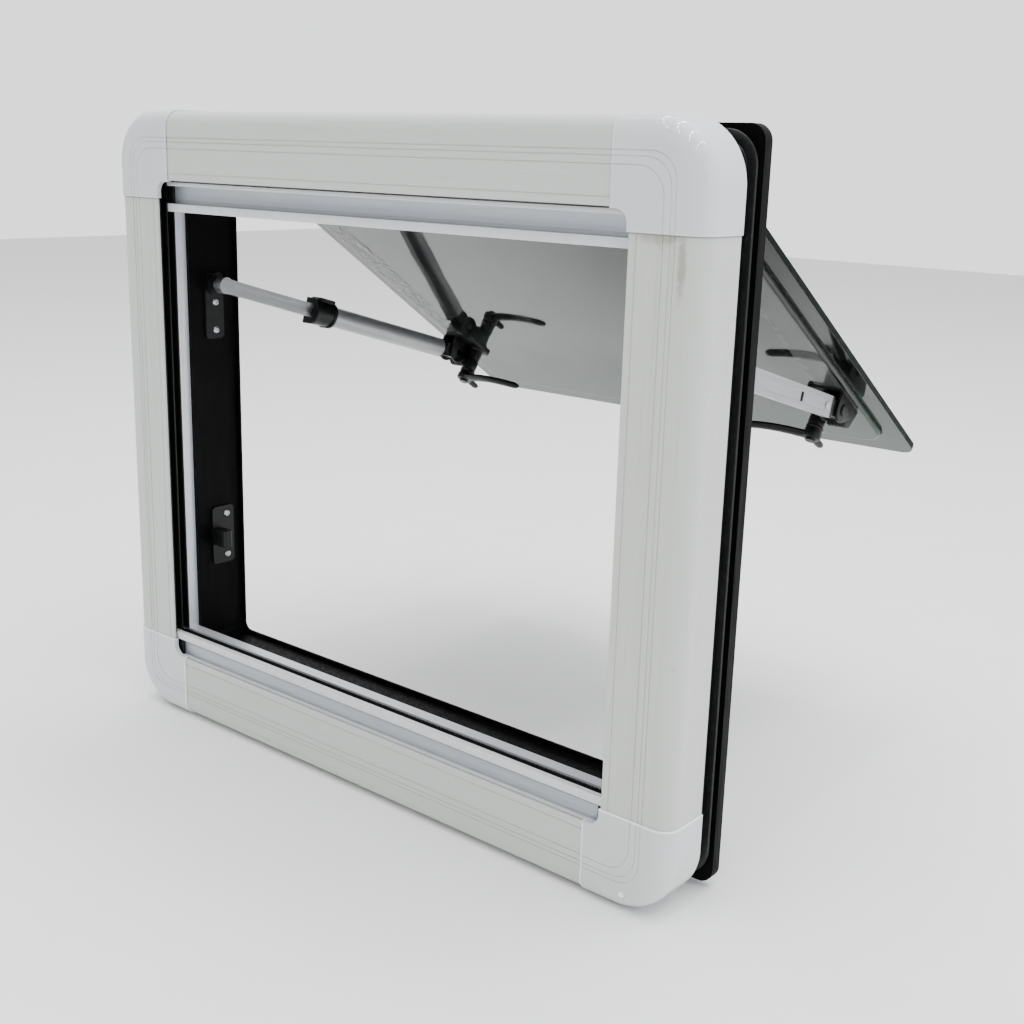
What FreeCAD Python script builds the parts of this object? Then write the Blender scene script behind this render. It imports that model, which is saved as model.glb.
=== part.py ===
import FreeCAD, Part
import math
import os

# Top-hung caravan window: an inner frame with a roller blind and an insect screen, an outer
# flanged frame, and an acrylic sash that opens on two telescopic stays and locks with two latches.
# Millimetres. X runs to the right seen from indoors, Y to the outside, Z up.
# The origin is the centre of the window in the plane of the wall's outer skin.

# ---- overall sizes ----
OPENING_W = 500.0            # clear opening between the side rails
OPENING_H = 437.4            # clear opening between the top and bottom rails
WALL_THICKNESS = 24.0        # wall clamped between the two frames
CASING_DEPTH = 43.0          # how far the inner frame stands off the wall

# ---- inner frame ----
FACE_W = 57.5                # width of a rail's face
RAIL_WALL = 1.6
EDGE_R = 13.0                # rounded outer edge of the rails
GROOVE_W = 0.9
GROOVE_DEPTH = 0.4
GROOVE_INSETS = (22.0, 25.6, 31.0)   # ornamental grooves, from the rail's outer edge
INNER_LINE_INSET = 51.5
GROOVE_CORNER_R = 20.0
COVER_LEG = 15.4             # how far a corner cover reaches over a rail past the opening's corner
COVER_WALL = 1.2
COVER_GAP = 0.05
COVER_RETURN = 2.9           # depth of the cover's wall round the opening's corner
COVER_FILLET = 9.0
CORNER_R = 44.0              # outer corner of the casing seen from the front
KEY_WALL = 1.6
KEY_INSET = (20.0, 50.0)     # band of the rail that a corner key lies under

# ---- twin guides and the strips behind them ----
GUIDE_W = 12.0
GUIDE_FIN = 1.4
CHANNEL = 5.8
STRIP_DEPTH = 10.6
STRIP_WALL = 1.6
STRIP_SIDE_W = 24.0
STRIP_RISE = 22.0            # height of the top and bottom strips inside the opening
STRIP_SEAT = 14.0            # how far they reach behind the rail

# ---- pull bars, rollers and fabrics ----
BAR_H = 25.3
BAR_DEPTH = 5.0
BAR_WALL = 1.3
GRIP_LIP = 7.0
TAIL_LIP = 3.4
BAR_ENGAGE = 8.0             # bar's run into a guide channel
PLUG_L = 14.0
TONGUE_RISE = 9.0
BLIND_PARK = 1.6             # gap from the top rail to the parked blind bar
SCREEN_SINK = 3.1            # how far the parked screen bar drops behind the bottom rail
ROLLER_INSET = 36.0          # roller's axis from the opening's edge
TUBE_R = 9.0
TUBE_WALL = 1.0
WOUND_R = 12.5
WOUND_CLEAR = 0.05
ROLLER_END_GAP = 14.0        # roller's end to the opening's edge
HUB_L = 8.0                  # hub in each end of a roller
HUB_GAP = 4.0                # roller's end to its bracket
SPINDLE_R = 3.0
RUN_CLEAR = 0.05             # radial clearance of a running fit
FABRIC_T = 0.5
SOFT_GAP = 0.3               # between a soft sheet and what moves past it
BRUSH_H = 6.0
BRACKET_T = 3.0
SPRING_WIRE_R = 0.6
SPRING_R = 6.0
SPRING_PITCH = 10.0
SPRING_TURNS = 8

# ---- outer frame ----
FLANGE_W = 54.5              # flange's edge beyond the clear opening
FLANGE_T = 9.0
FLANGE_WALL = 1.5
FLANGE_R = 12.0
NECK_W = 22.0                # neck's outer wall beyond the clear opening
NECK_WALL = 2.0
NECK_R = 24.0
JAMB_STEP = 4.0              # jamb's inner wall inside the clear opening
JAMB_R = 8.0
LIP_STEP = 8.0               # outer lip inside the clear opening
SEAL_T = 3.0                 # rubber under the flange
SEAL_W = 22.0
SEAL_INSET = 3.5
SASH_SEAL_H = 3.0
SASH_SEAL_W = 6.0
SASH_SEAL_INSET = 1.0
WALL_HOLE_R = 2.1            # screw holes through the flange
WALL_HOLE_INSET = 14.0

# ---- sash ----
OPEN_ANGLE = 56.0
HINGE_STANDOFF = 4.0         # hinge axis outside the flange
HINGE_Z_ABOVE = 31.3         # hinge axis above the top rail's edge
PANE_OVERHANG = 7.5         # pane's side edge beyond the clear opening
PANE_TOP = 8.0               # from the hinge axis to the pane's top edge
PANE_SILL_LAP = 2.3          # pane's bottom edge below the clear opening's edge
PANE_R = 15.0
OUTER_T = 3.0
BOND_T = 0.8
BOND_W = 18.0
INNER_T = 2.5
PANE_SEAL_GAP = 0.3
DOME_SIDE = 19.0
DOME_TOP = 40.0
DOME_BOTTOM = 26.0
DOME_H = 5.0
DOME_R = 24.0
BEAD_R = 3.5
HINGE_WALL = 1.65
ARM_T = 1.6
CLIP_WALL = 1.2
CLIP_LEG = 13.0
MOUTH_MARGIN = 20.0

# ---- stays ----
STAY_INSET = 23.0            # plane of the stays, inside the clear opening's side
STAY_PIVOT_Y = -15.0
STAY_PIVOT_Z_BELOW = 91.7    # below the top rail's edge
STAY_EDGE = 126.0            # sash pivot above the pane's bottom edge
STAY_STANDOFF = 21.0         # pivot inside the hinge plane
TUBE_START = 20.0
TUBE_H = 19.0
TUBE_W = 14.0
TUBE_SHELL = 1.4
ROD_H = 13.0
ROD_W = 7.5
ROD_SHIFT = 1.6              # rod's middle from the stay's plane, towards the jamb
ROD_GROOVE = 1.5
ROD_GROOVE_H = 5.0
ROD_TAIL_GAP = 65.225        # rod's end from the sash pivot with the stay closed
COLLAR_L = 26.0
COLLAR_OVERHANG = 14.0
COLLAR_STOP = 4.725          # closed collar's end to the rod's disc
COLLAR_WALL = 2.2
SLIDE_CLEAR = 0.1
EYE_R = 8.0
PIN_R = 3.0
STUD_R = 4.0
STUD_GAP = 0.3
RIVET_R = 2.0
RIVET_INSET = 8.0
SLOT_INSET = 54.0

# ---- pane brackets, latches and catches ----
LATCH_OFFSET = 19.0          # latch's post inside the stay's plane
LATCH_DROP = 15.0            # latch's post below the stay's pivot
POST_R = 7.5
POST_TOP = 34.0              # post's end inside the hinge plane
HUB_R = 8.5
HUB_H = 12.0
LEVER_L = 74.0
LEVER_T = 5.0
LEVER_W = 9.0
HOOK_L = 24.0
HOOK_T = 6.0
LATCH_PIN_R = 2.5
EAR_T = 2.7
EAR_GAP = 0.2
BASE_T = 3.0
CATCH_BEARING_GAP = 0.3
CATCH_NOSE = 20.0
CATCH_NOSE_H = 16.0
CATCH_PITCH = 40.0
PLATE_T = 2.5
STAY_PLATE_PITCH = 25.3
STAY_PLATE_OFFSET = 16.2     # first screw below the stay's pivot
BOSS_H = 4.5
SCREW_R = 1.6
SCREW_HEAD_R = 3.2
SCREW_HEAD_H = 1.4
CLAMP_R = 2.0
CLAMP_HEAD_R = 3.8
HOLE_CLEAR = 0.05

# ---- places worked out from the sizes ----
HALF_W = OPENING_W / 2
HALF_H = OPENING_H / 2
FRONT = -(WALL_THICKNESS + CASING_DEPTH)
GUIDE_FRONT = RAIL_WALL
GUIDE_BACK = GUIDE_FRONT + 3 * GUIDE_FIN + 2 * CHANNEL
STRIP_BACK = GUIDE_BACK + STRIP_DEPTH
NECK_FRONT = FRONT + STRIP_BACK
FRONT_BAR = GUIDE_FRONT + GUIDE_FIN + (CHANNEL - BAR_DEPTH) / 2
REAR_BAR = FRONT_BAR + GUIDE_FIN + CHANNEL
FLANGE_BACK = SEAL_T
FLANGE_FACE = SEAL_T + FLANGE_T
HINGE_Y = FLANGE_FACE + HINGE_STANDOFF
HINGE_Z = HALF_H + HINGE_Z_ABOVE
STAY_PIVOT_Z = HALF_H - STAY_PIVOT_Z_BELOW
PANE_INNER_Y = FLANGE_FACE + SASH_SEAL_H + PANE_SEAL_GAP
PANE_OUTER_Y = PANE_INNER_Y + INNER_T + BOND_T + OUTER_T
DOME_Y = PANE_INNER_Y - DOME_H
BLIND_LOW = HALF_H - BLIND_PARK - BAR_H
SCREEN_TOP = -HALF_H - SCREEN_SINK + BAR_H
JAMB_X = HALF_W - JAMB_STEP
PANE_HALF_W = HALF_W + PANE_OVERHANG
PANE_BOTTOM = HINGE_Z + HALF_H + PANE_SILL_LAP     # from the hinge axis, down the pane
HINGE_HALF_L = HALF_W
STAY_X = HALF_W - STAY_INSET
STAY_SEAT = PANE_BOTTOM - STAY_EDGE
LATCH_X = STAY_X - LATCH_OFFSET
LATCH_SEAT = STAY_SEAT + LATCH_DROP
STAY_CLOSED = math.hypot(STAY_PIVOT_Y - HINGE_Y + STAY_STANDOFF, STAY_PIVOT_Z - HINGE_Z + STAY_SEAT)
ROD_DISC_R = ROD_H / 2 + 1
TUBE_L = STAY_CLOSED - TUBE_START - COLLAR_OVERHANG - ROD_DISC_R - COLLAR_STOP
ROD_TAIL = STAY_CLOSED - ROD_TAIL_GAP

X_AXIS = FreeCAD.Vector(1, 0, 0)
Y_AXIS = FreeCAD.Vector(0, 1, 0)
Z_AXIS = FreeCAD.Vector(0, 0, 1)
ORIGIN = FreeCAD.Vector(0, 0, 0)
SIDE_TURN = {"top": 0, "right": 90, "bottom": 180, "left": 270}


def depth(distance):
    """Y of a point that lies this far behind the inner frame's face."""
    return FRONT + distance


def box(x0, x1, y0, y1, z0, z1):
    """Box between two corners, in any order."""
    low = FreeCAD.Vector(min(x0, x1), min(y0, y1), min(z0, z1))
    return Part.makeBox(abs(x1 - x0), abs(y1 - y0), abs(z1 - z0), low)


def rod_along(axis, radius, start, length):
    """Cylinder from a start point along an axis."""
    return Part.makeCylinder(radius, length, FreeCAD.Vector(*start), axis)


def union(shapes):
    """One solid from several that touch."""
    first = shapes[0]
    if len(shapes) == 1:
        return first
    return first.fuse(shapes[1:]).removeSplitter()


def group(shapes):
    """Separate solids that share a node."""
    return Part.makeCompound(shapes)


def turned(shape, angle, axis, centre=ORIGIN):
    """Copy of a shape turned about an axis through a centre."""
    copy = shape.copy()
    copy.rotate(centre, axis, angle)
    return copy


def on_side(shape, side):
    """Piece drawn at the top of the frame, turned to another side."""
    return turned(shape, SIDE_TURN[side], Y_AXIS)


def mirrored_x(shape):
    """Left-hand copy of a right-hand piece."""
    return shape.mirror(ORIGIN, X_AXIS)


def mirrored_z(shape):
    """Lower copy of an upper piece."""
    return shape.mirror(ORIGIN, Z_AXIS)


def rounded_prism(half_w, z0, z1, radius, y0, y1):
    """Prism along Y with a rounded-rectangle outline, centred across X."""
    plate = box(-half_w, half_w, y0, y1, z0, z1)
    uprights = [e for e in plate.Edges if abs(e.tangentAt(e.FirstParameter).y) > 0.9]
    return plate.makeFillet(radius, uprights)


def frame_ring(outset, inset, outer_r, inner_r, y0, y1):
    """Ring round the opening, between two distances from its edge."""
    outer = rounded_prism(HALF_W + outset, -HALF_H - outset, HALF_H + outset, outer_r, y0, y1)
    inner = rounded_prism(HALF_W + inset, -HALF_H - inset, HALF_H + inset, inner_r, y0, y1)
    return outer.cut(inner)


def polygon_prism(points, axis, length):
    """Prism on a closed outline of 3-D points."""
    wire = Part.makePolygon([FreeCAD.Vector(*p) for p in points + points[:1]])
    return Part.Face(wire).extrude(axis * length)


def rail_section(half_length):
    """Top rail's folded sheet: a face, a rounded edge and a skirt that stands on the wall."""
    top = HALF_H + FACE_W
    mid = math.sqrt(0.5)

    def at(inset, back):
        return FreeCAD.Vector(-half_length, depth(back), top - inset)

    def bend(radius):
        return Part.Arc(at(EDGE_R, EDGE_R - radius),
                        at(EDGE_R - radius * mid, EDGE_R - radius * mid),
                        at(EDGE_R - radius, EDGE_R)).toShape()

    inner_r = EDGE_R - RAIL_WALL
    edges = [
        Part.makeLine(at(FACE_W, 0), at(EDGE_R, 0)),
        bend(EDGE_R),
        Part.makeLine(at(0, EDGE_R), at(0, CASING_DEPTH)),
        Part.makeLine(at(0, CASING_DEPTH), at(RAIL_WALL, CASING_DEPTH)),
        Part.makeLine(at(RAIL_WALL, CASING_DEPTH), at(RAIL_WALL, EDGE_R)),
        bend(inner_r),
        Part.makeLine(at(EDGE_R, RAIL_WALL), at(FACE_W, RAIL_WALL)),
        Part.makeLine(at(FACE_W, RAIL_WALL), at(FACE_W, 0)),
    ]
    wire = Part.Wire(Part.__sortEdges__(edges))
    return Part.Face(wire).extrude(X_AXIS * (2 * half_length))


def rail(side):
    """One inner rail with its ornamental grooves."""
    across = side in ("top", "bottom")
    half_length = HALF_W if across else HALF_H
    opening = HALF_H if across else HALF_W
    body = rail_section(half_length)
    for inset in GROOVE_INSETS + (INNER_LINE_INSET,):
        z = HALF_H + FACE_W - inset
        groove = box(-half_length, half_length, FRONT, depth(GROOVE_DEPTH),
                     z - GROOVE_W / 2, z + GROOVE_W / 2)
        body = body.cut(groove)
    body.translate(Z_AXIS * (opening - HALF_H))
    return on_side(body, side)


def casing_block(proud):
    """Solid block of the casing's outline with its front edge rounded, grown by a margin."""
    half_w = HALF_W + FACE_W + proud
    half_h = HALF_H + FACE_W + proud
    block = rounded_prism(half_w, -half_h, half_h, CORNER_R + proud, FRONT - proud, -WALL_THICKNESS)
    face_y = FRONT - proud
    front = [e for e in block.Edges
             if abs(e.BoundBox.YMax - face_y) < 1e-4 and abs(e.BoundBox.YMin - face_y) < 1e-4]
    return block.makeFillet(EDGE_R + proud, front)


def corner_cover():
    """Moulded cover over the top right corner: a shell with a return round the opening's corner."""
    proud = COVER_GAP + COVER_WALL
    shell = casing_block(proud).cut(casing_block(COVER_GAP))
    seam_x = HALF_W - COVER_LEG
    seam_z = HALF_H - COVER_LEG
    far = HALF_W + HALF_H
    region = box(seam_x, far, FRONT - proud, 0, seam_z, far)
    shell = shell.common(region)
    edge_x = HALF_W - proud
    edge_z = HALF_H - proud
    back = depth(COVER_RETURN)

    def window(half_w, half_h, radius, y0, y1):
        cut = box(0, half_w, y0, y1, 0, half_h)
        corner = [e for e in cut.Edges if abs(e.tangentAt(e.FirstParameter).y) > 0.9
                  and e.BoundBox.XMin > half_w - 1 and e.BoundBox.ZMin > half_h - 1]
        return cut.makeFillet(radius, corner)

    shell = shell.cut(window(edge_x, edge_z, COVER_FILLET, FRONT - proud, 0))
    wall = window(HALF_W - COVER_GAP, HALF_H - COVER_GAP, 1.0, FRONT - proud, back)
    wall = wall.cut(window(edge_x, edge_z, COVER_FILLET, FRONT - proud, back))
    wall = wall.common(box(seam_x, far, FRONT - proud, back, seam_z, far))
    cover = union([shell, wall])
    for inset in GROOVE_INSETS:
        cover = cover.cut(cover_groove(inset, proud))
    return cover


def cover_groove(inset, proud):
    """Groove that follows a rail's groove round the corner."""
    reach = FACE_W - inset
    y0 = FRONT - proud
    y1 = y0 + GROOVE_DEPTH
    half = GROOVE_W / 2
    radius = GROOVE_CORNER_R
    return frame_ring(reach + half, reach - half, radius + half, radius - half, y0, y1)


def corner_key():
    """Flat key that ties the top rail to the right rail."""
    low, high = FACE_W - KEY_INSET[1], FACE_W - KEY_INSET[0]
    y0, y1 = depth(RAIL_WALL), depth(RAIL_WALL + KEY_WALL)
    reach = KEY_INSET[1]
    across = box(HALF_W - reach, HALF_W + high, y0, y1, HALF_H + low + GUIDE_W, HALF_H + high)
    upright = box(HALF_W + low + GUIDE_W, HALF_W + high, y0, y1, HALF_H - reach, HALF_H + high)
    return union([across, upright])


def guide():
    """Right-hand twin guide: one channel for the screen bar and one for the blind bar."""
    z0 = -(HALF_H - STRIP_RISE)
    z1 = HALF_H
    inner = HALF_W
    back = HALF_W + GUIDE_W
    parts = [box(back - GUIDE_FIN, back, depth(GUIDE_FRONT), depth(GUIDE_BACK), z0, z1)]
    for step in range(3):
        y = GUIDE_FRONT + step * (GUIDE_FIN + CHANNEL)
        parts.append(box(inner, back, depth(y), depth(y + GUIDE_FIN), z0, z1))
    return union(parts)


def hollow_strip(half_length, z0, z1):
    """Rectangular tube that runs across, open at both ends."""
    y0, y1 = depth(GUIDE_BACK), depth(STRIP_BACK)
    outer = box(-half_length, half_length, y0, y1, z0, z1)
    inner = box(-half_length, half_length, y0 + STRIP_WALL, y1 - STRIP_WALL, z0 + STRIP_WALL, z1 - STRIP_WALL)
    return outer.cut(inner)


def clamp_places(side):
    """Along-rail place and distance outside the opening's edge of each clamp screw on a side."""
    if side in ("top", "bottom"):
        reach = HALF_W - 2 * STRIP_SIDE_W
        return [(place, STRIP_SEAT / 2) for place in (-reach, -reach / 3, reach / 3, reach)]
    reach = HALF_H - 2 * STRIP_SIDE_W
    return [(place, STRIP_SIDE_W / 2) for place in (-reach, 0, reach)]


def clamp_screw(x, z):
    """Screw that pulls the inner frame to the neck of the outer frame."""
    seat = depth(STRIP_BACK - STRIP_WALL)
    head = rod_along(Y_AXIS, CLAMP_HEAD_R, (x, seat - 2.2, z), 2.2)
    shank = rod_along(Y_AXIS, CLAMP_R, (x, seat, z), STRIP_WALL + NECK_WALL + 6)
    return union([head, shank])


def back_strip(side):
    """Strip behind the guides, with an access hole and a screw hole at each clamp screw."""
    across = side in ("top", "bottom")
    if across:
        strip = hollow_strip(HALF_W + STRIP_SIDE_W, HALF_H - STRIP_RISE, HALF_H + STRIP_SEAT)
        opening = HALF_H
    else:
        strip = hollow_strip(HALF_H - STRIP_RISE, HALF_W, HALF_W + STRIP_SIDE_W)
        opening = HALF_W
    for place, out in clamp_places(side):
        z = opening + out
        strip = strip.cut(rod_along(Y_AXIS, CLAMP_HEAD_R + 0.7, (place, depth(GUIDE_BACK), z), STRIP_WALL))
        strip = strip.cut(rod_along(Y_AXIS, CLAMP_R + HOLE_CLEAR, (place, depth(GUIDE_BACK), z), STRIP_DEPTH))
    return on_side(strip, side)


def each_clamp():
    """Clamp screws at every side, as placed solids."""
    screws = []
    for side in SIDE_TURN:
        opening = HALF_H if side in ("top", "bottom") else HALF_W
        screws += [on_side(clamp_screw(place, opening + out), side) for place, out in clamp_places(side)]
    return screws


def slot_brush(upper):
    """Pile strip that closes the slot beside a pull bar."""
    if upper:
        z0 = HALF_H + BRUSH_H / 2
        half = HALF_W - ROLLER_END_GAP
        return box(-half, half, depth(RAIL_WALL), depth(REAR_BAR - SOFT_GAP - FABRIC_T), z0, z0 + BRUSH_H)
    half = HALF_W + BAR_ENGAGE - BAR_WALL
    z1 = SCREEN_TOP - BAR_WALL
    return box(-half, half, depth(FRONT_BAR + BAR_DEPTH + SOFT_GAP), depth(GUIDE_BACK), z1 - BRUSH_H, z1)


def pull_bar(front, grip_up):
    """Open-fronted bar: a web with a deep grip lip on one edge and a narrow lip on the other."""
    half = HALF_W + BAR_ENGAGE
    y0, y1 = depth(front), depth(front + BAR_DEPTH)
    web = box(-half, half, y1 - BAR_WALL, y1, 0, BAR_H)
    grip = box(-half, half, y0, y1, BAR_H - BAR_WALL, BAR_H)
    apron = box(-half, half, y0, y0 + BAR_WALL, BAR_H - GRIP_LIP, BAR_H)
    tail = box(-half, half, y0, y1, 0, TAIL_LIP)
    bar = union([web, grip, apron, tail])
    if grip_up:
        bar.translate(Z_AXIS * (SCREEN_TOP - BAR_H))
        return bar
    bar = mirrored_z(bar)
    bar.translate(Z_AXIS * (BLIND_LOW + BAR_H))
    return bar


def bar_plugs(front, grip_up):
    """Plug in each end of a pull bar, with a tongue that stays in the guide channel."""
    y0, y1 = depth(front), depth(front + BAR_DEPTH) - BAR_WALL
    end = HALF_W + BAR_ENGAGE
    plug = box(end - PLUG_L, end, y0 + BAR_WALL, y1, TAIL_LIP, BAR_H - BAR_WALL)
    stub = box(end, end + BAR_WALL, y0 + BAR_WALL, y1, TAIL_LIP, BAR_H + TONGUE_RISE)
    root = box(end - 1, end, y0 + BAR_WALL, y1, TAIL_LIP, BAR_H - BAR_WALL)
    plug = union([plug, root, stub])
    if grip_up:
        plug.translate(Z_AXIS * (SCREEN_TOP - BAR_H))
    else:
        plug = mirrored_z(plug)
        plug.translate(Z_AXIS * (BLIND_LOW + BAR_H))
    return group([plug, mirrored_x(plug)])


def roller_axis(front):
    """Depth of the roller's axis whose wound fabric meets the sheet behind a pull bar."""
    return front + BAR_DEPTH - BAR_WALL - SOFT_GAP + WOUND_R


def roller_half():
    """Half of a roller tube's length."""
    return HALF_W - ROLLER_END_GAP


def roller_z(upper):
    """Height of a roller's axis."""
    z = HALF_H + ROLLER_INSET
    return z if upper else -z


def roller_tube(front, upper):
    """Thin tube closed by a hub at each end that turns on its spindle."""
    y, z, half = depth(roller_axis(front)), roller_z(upper), roller_half()
    tube = rod_along(X_AXIS, TUBE_R, (-half, y, z), 2 * half)
    bore = rod_along(X_AXIS, TUBE_R - TUBE_WALL, (-half + HUB_L, y, z), 2 * (half - HUB_L))
    hole = rod_along(X_AXIS, SPINDLE_R + RUN_CLEAR, (-half, y, z), 2 * half)
    return tube.cut(bore).cut(hole)


def wound_fabric(front, upper):
    """Roll of fabric round a roller tube."""
    y, z, half = depth(roller_axis(front)), roller_z(upper), roller_half() - 2
    roll = rod_along(X_AXIS, WOUND_R, (-half, y, z), 2 * half)
    return roll.cut(rod_along(X_AXIS, TUBE_R + WOUND_CLEAR, (-half, y, z), 2 * half))


def fabric_drop(front, upper):
    """Sheet between a roll and its pull bar."""
    half = roller_half() - 2
    y1 = depth(roller_axis(front) - WOUND_R - SOFT_GAP)
    tangent = HALF_H + ROLLER_INSET
    edge = BLIND_LOW + BAR_H if upper else -(SCREEN_TOP - BAR_H)
    sheet = box(-half, half, y1 - FABRIC_T, y1, edge + SOFT_GAP, tangent)
    return sheet if upper else mirrored_z(sheet)


def roller_bracket(front, upper):
    """Plate that carries one end of a roller, standing on a corner key."""
    x0 = HALF_W - ROLLER_END_GAP + HUB_GAP
    y = depth(roller_axis(front))
    z = HALF_H + ROLLER_INSET
    out = HALF_H + FACE_W - RAIL_WALL
    plate = box(x0, x0 + BRACKET_T, depth(RAIL_WALL + KEY_WALL), y + 8, z - 9, out)
    hole = rod_along(X_AXIS, SPINDLE_R + HOLE_CLEAR, (x0, y, z), BRACKET_T)
    plate = plate.common(casing_block(-RAIL_WALL)).cut(hole)
    return plate if upper else mirrored_z(plate)


def spindle(front, upper, arbor_l):
    """Fixed pin from a bracket into the roller's hub, with an arbor for the spring."""
    x0 = HALF_W - ROLLER_END_GAP
    y, z = depth(roller_axis(front)), roller_z(upper)
    pin = rod_along(X_AXIS, SPINDLE_R, (x0 - HUB_L - 2, y, z), HUB_L + 2 + HUB_GAP + BRACKET_T + 1)
    collar = rod_along(X_AXIS, SPINDLE_R + 1.4, (x0 + HUB_GAP + BRACKET_T, y, z), 1.5)
    parts = [pin, collar]
    if arbor_l:
        arbor_r = SPRING_R - SPRING_WIRE_R - SOFT_GAP
        parts.append(rod_along(X_AXIS, arbor_r, (x0 - HUB_L - 1 - arbor_l, y, z), arbor_l))
    return union(parts)


def roller_spring(front, upper):
    """Coil of the winding spring round the arbor inside a roller."""
    length = SPRING_PITCH * SPRING_TURNS
    start = roller_half() - HUB_L - 2 - length
    y, z = depth(roller_axis(front)), roller_z(upper)
    helix = Part.makeHelix(SPRING_PITCH, length, SPRING_R)
    section = Part.Wire(Part.makeCircle(SPRING_WIRE_R, FreeCAD.Vector(SPRING_R, 0, 0), Y_AXIS))
    coil = Part.Wire(helix).makePipeShell([section], True, True)
    coil.rotate(ORIGIN, Y_AXIS, 90)
    coil.translate(FreeCAD.Vector(start, y, z))
    return coil


def outer_frame():
    """Bent aluminium frame: a boxed neck through the wall and a boxed flange outside it."""
    edge, neck = FLANGE_W, NECK_W
    neck_in = neck - NECK_WALL
    jamb_out = -JAMB_STEP + NECK_WALL
    face_in = FLANGE_FACE - FLANGE_WALL
    parts = [
        frame_ring(edge, -LIP_STEP, FLANGE_R, JAMB_R, face_in, FLANGE_FACE),
        frame_ring(edge, edge - FLANGE_WALL, FLANGE_R, FLANGE_R - FLANGE_WALL, FLANGE_BACK, FLANGE_FACE),
        frame_ring(edge, neck_in, FLANGE_R, NECK_R - NECK_WALL, FLANGE_BACK, FLANGE_BACK + FLANGE_WALL),
        frame_ring(neck, neck_in, NECK_R, NECK_R - NECK_WALL, NECK_FRONT, face_in),
        frame_ring(jamb_out, -JAMB_STEP, JAMB_R + NECK_WALL, JAMB_R, NECK_FRONT, face_in),
        frame_ring(neck, -JAMB_STEP, NECK_R, JAMB_R, NECK_FRONT, NECK_FRONT + NECK_WALL),
    ]
    body = union(parts)
    for x, z in wall_holes():
        body = body.cut(rod_along(Y_AXIS, WALL_HOLE_R, (x, 0, z), FLANGE_FACE + 1))
    for side in SIDE_TURN:
        opening = HALF_H if side in ("top", "bottom") else HALF_W
        for place, out in clamp_places(side):
            start = (place, NECK_FRONT - 1, opening + out)
            hole = rod_along(Y_AXIS, CLAMP_R + HOLE_CLEAR, start, NECK_WALL + 2)
            body = body.cut(on_side(hole, side))
    for screw in jamb_screws(HOLE_CLEAR):
        body = body.cut(screw)
    return body


def wall_holes():
    """Centres of the four screw holes through the flange."""
    x = HALF_W + FLANGE_W - WALL_HOLE_INSET
    z = HALF_H + FLANGE_W - WALL_HOLE_INSET
    return [(sx * x, sz * z) for sx in (-1, 1) for sz in (-1, 1)]


def flange_seal():
    """Rubber between the flange and the wall."""
    edge = FLANGE_W - SEAL_INSET
    ring = frame_ring(edge, edge - SEAL_W, NECK_R, NECK_R, 0, SEAL_T)
    for x, z in wall_holes():
        ring = ring.cut(rod_along(Y_AXIS, WALL_HOLE_R, (x, -1, z), SEAL_T + 2))
    return ring


def sash_seal():
    """Rubber lip that the closed sash lies on."""
    inner = -LIP_STEP + SASH_SEAL_INSET
    outer_r = JAMB_R + SASH_SEAL_W
    top = FLANGE_FACE + SASH_SEAL_H
    return frame_ring(inner + SASH_SEAL_W, inner, outer_r, JAMB_R, FLANGE_FACE, top)


def hinge_rail():
    """Socket along the top of the flange that holds the sash's bead."""
    half = HINGE_HALF_L + 2
    outer_r = BEAD_R + RUN_CLEAR + HINGE_WALL
    tube = rod_along(X_AXIS, outer_r, (-half, HINGE_Y, HINGE_Z), 2 * half)
    foot = box(-half, half, FLANGE_FACE, HINGE_Y, HINGE_Z, HINGE_Z + outer_r)
    plate = box(-half, half, FLANGE_FACE, FLANGE_FACE + ARM_T, HINGE_Z, HINGE_Z + 3 * outer_r)
    body = union([tube, foot, plate])
    bore = rod_along(X_AXIS, BEAD_R + RUN_CLEAR, (-half, HINGE_Y, HINGE_Z), 2 * half)
    body = body.cut(bore)
    reach = 3 * outer_r
    start, end = -MOUTH_MARGIN, OPEN_ANGLE + MOUTH_MARGIN
    steps = 4
    points = [(-half, HINGE_Y, HINGE_Z)]
    for i in range(steps + 1):
        angle = math.radians(start + (end - start) * i / steps)
        points.append((-half, HINGE_Y + reach * math.sin(angle), HINGE_Z - reach * math.cos(angle)))
    body = body.cut(polygon_prism(points, X_AXIS, 2 * half))
    return body.cut(box(-half, half, FLANGE_FACE - reach, FLANGE_FACE, HINGE_Z - reach, HINGE_Z + reach))


def pane(z_inset, x_inset, y0, y1, radius):
    """Flat sheet of the closed sash, inset from the pane's edge."""
    return rounded_prism(PANE_HALF_W - x_inset, HINGE_Z - PANE_BOTTOM + z_inset,
                         HINGE_Z - PANE_TOP - z_inset, radius, y0, y1)


def pane_outer():
    """Outer acrylic sheet with softened edges."""
    y1 = PANE_OUTER_Y
    sheet = pane(0, 0, y1 - OUTER_T, y1, PANE_R)
    rim = [e for e in sheet.Edges if e.BoundBox.YMin > y1 - 1e-4]
    return sheet.makeFillet(1.2, rim)


def pane_bond():
    """Bonded band between the two sheets."""
    y0 = PANE_INNER_Y + INNER_T
    band = pane(0, 0, y0, y0 + BOND_T, PANE_R)
    return band.cut(pane(BOND_W, BOND_W, y0, y0 + BOND_T, PANE_R))


def dome_block(inset, y0, y1):
    """Raised middle of the inner sheet, shrunk by a wall."""
    z0 = HINGE_Z - PANE_BOTTOM + DOME_BOTTOM + inset
    z1 = HINGE_Z - PANE_TOP - DOME_TOP - inset
    return rounded_prism(PANE_HALF_W - DOME_SIDE - inset, z0, z1, DOME_R - inset, y0, y1)


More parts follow.
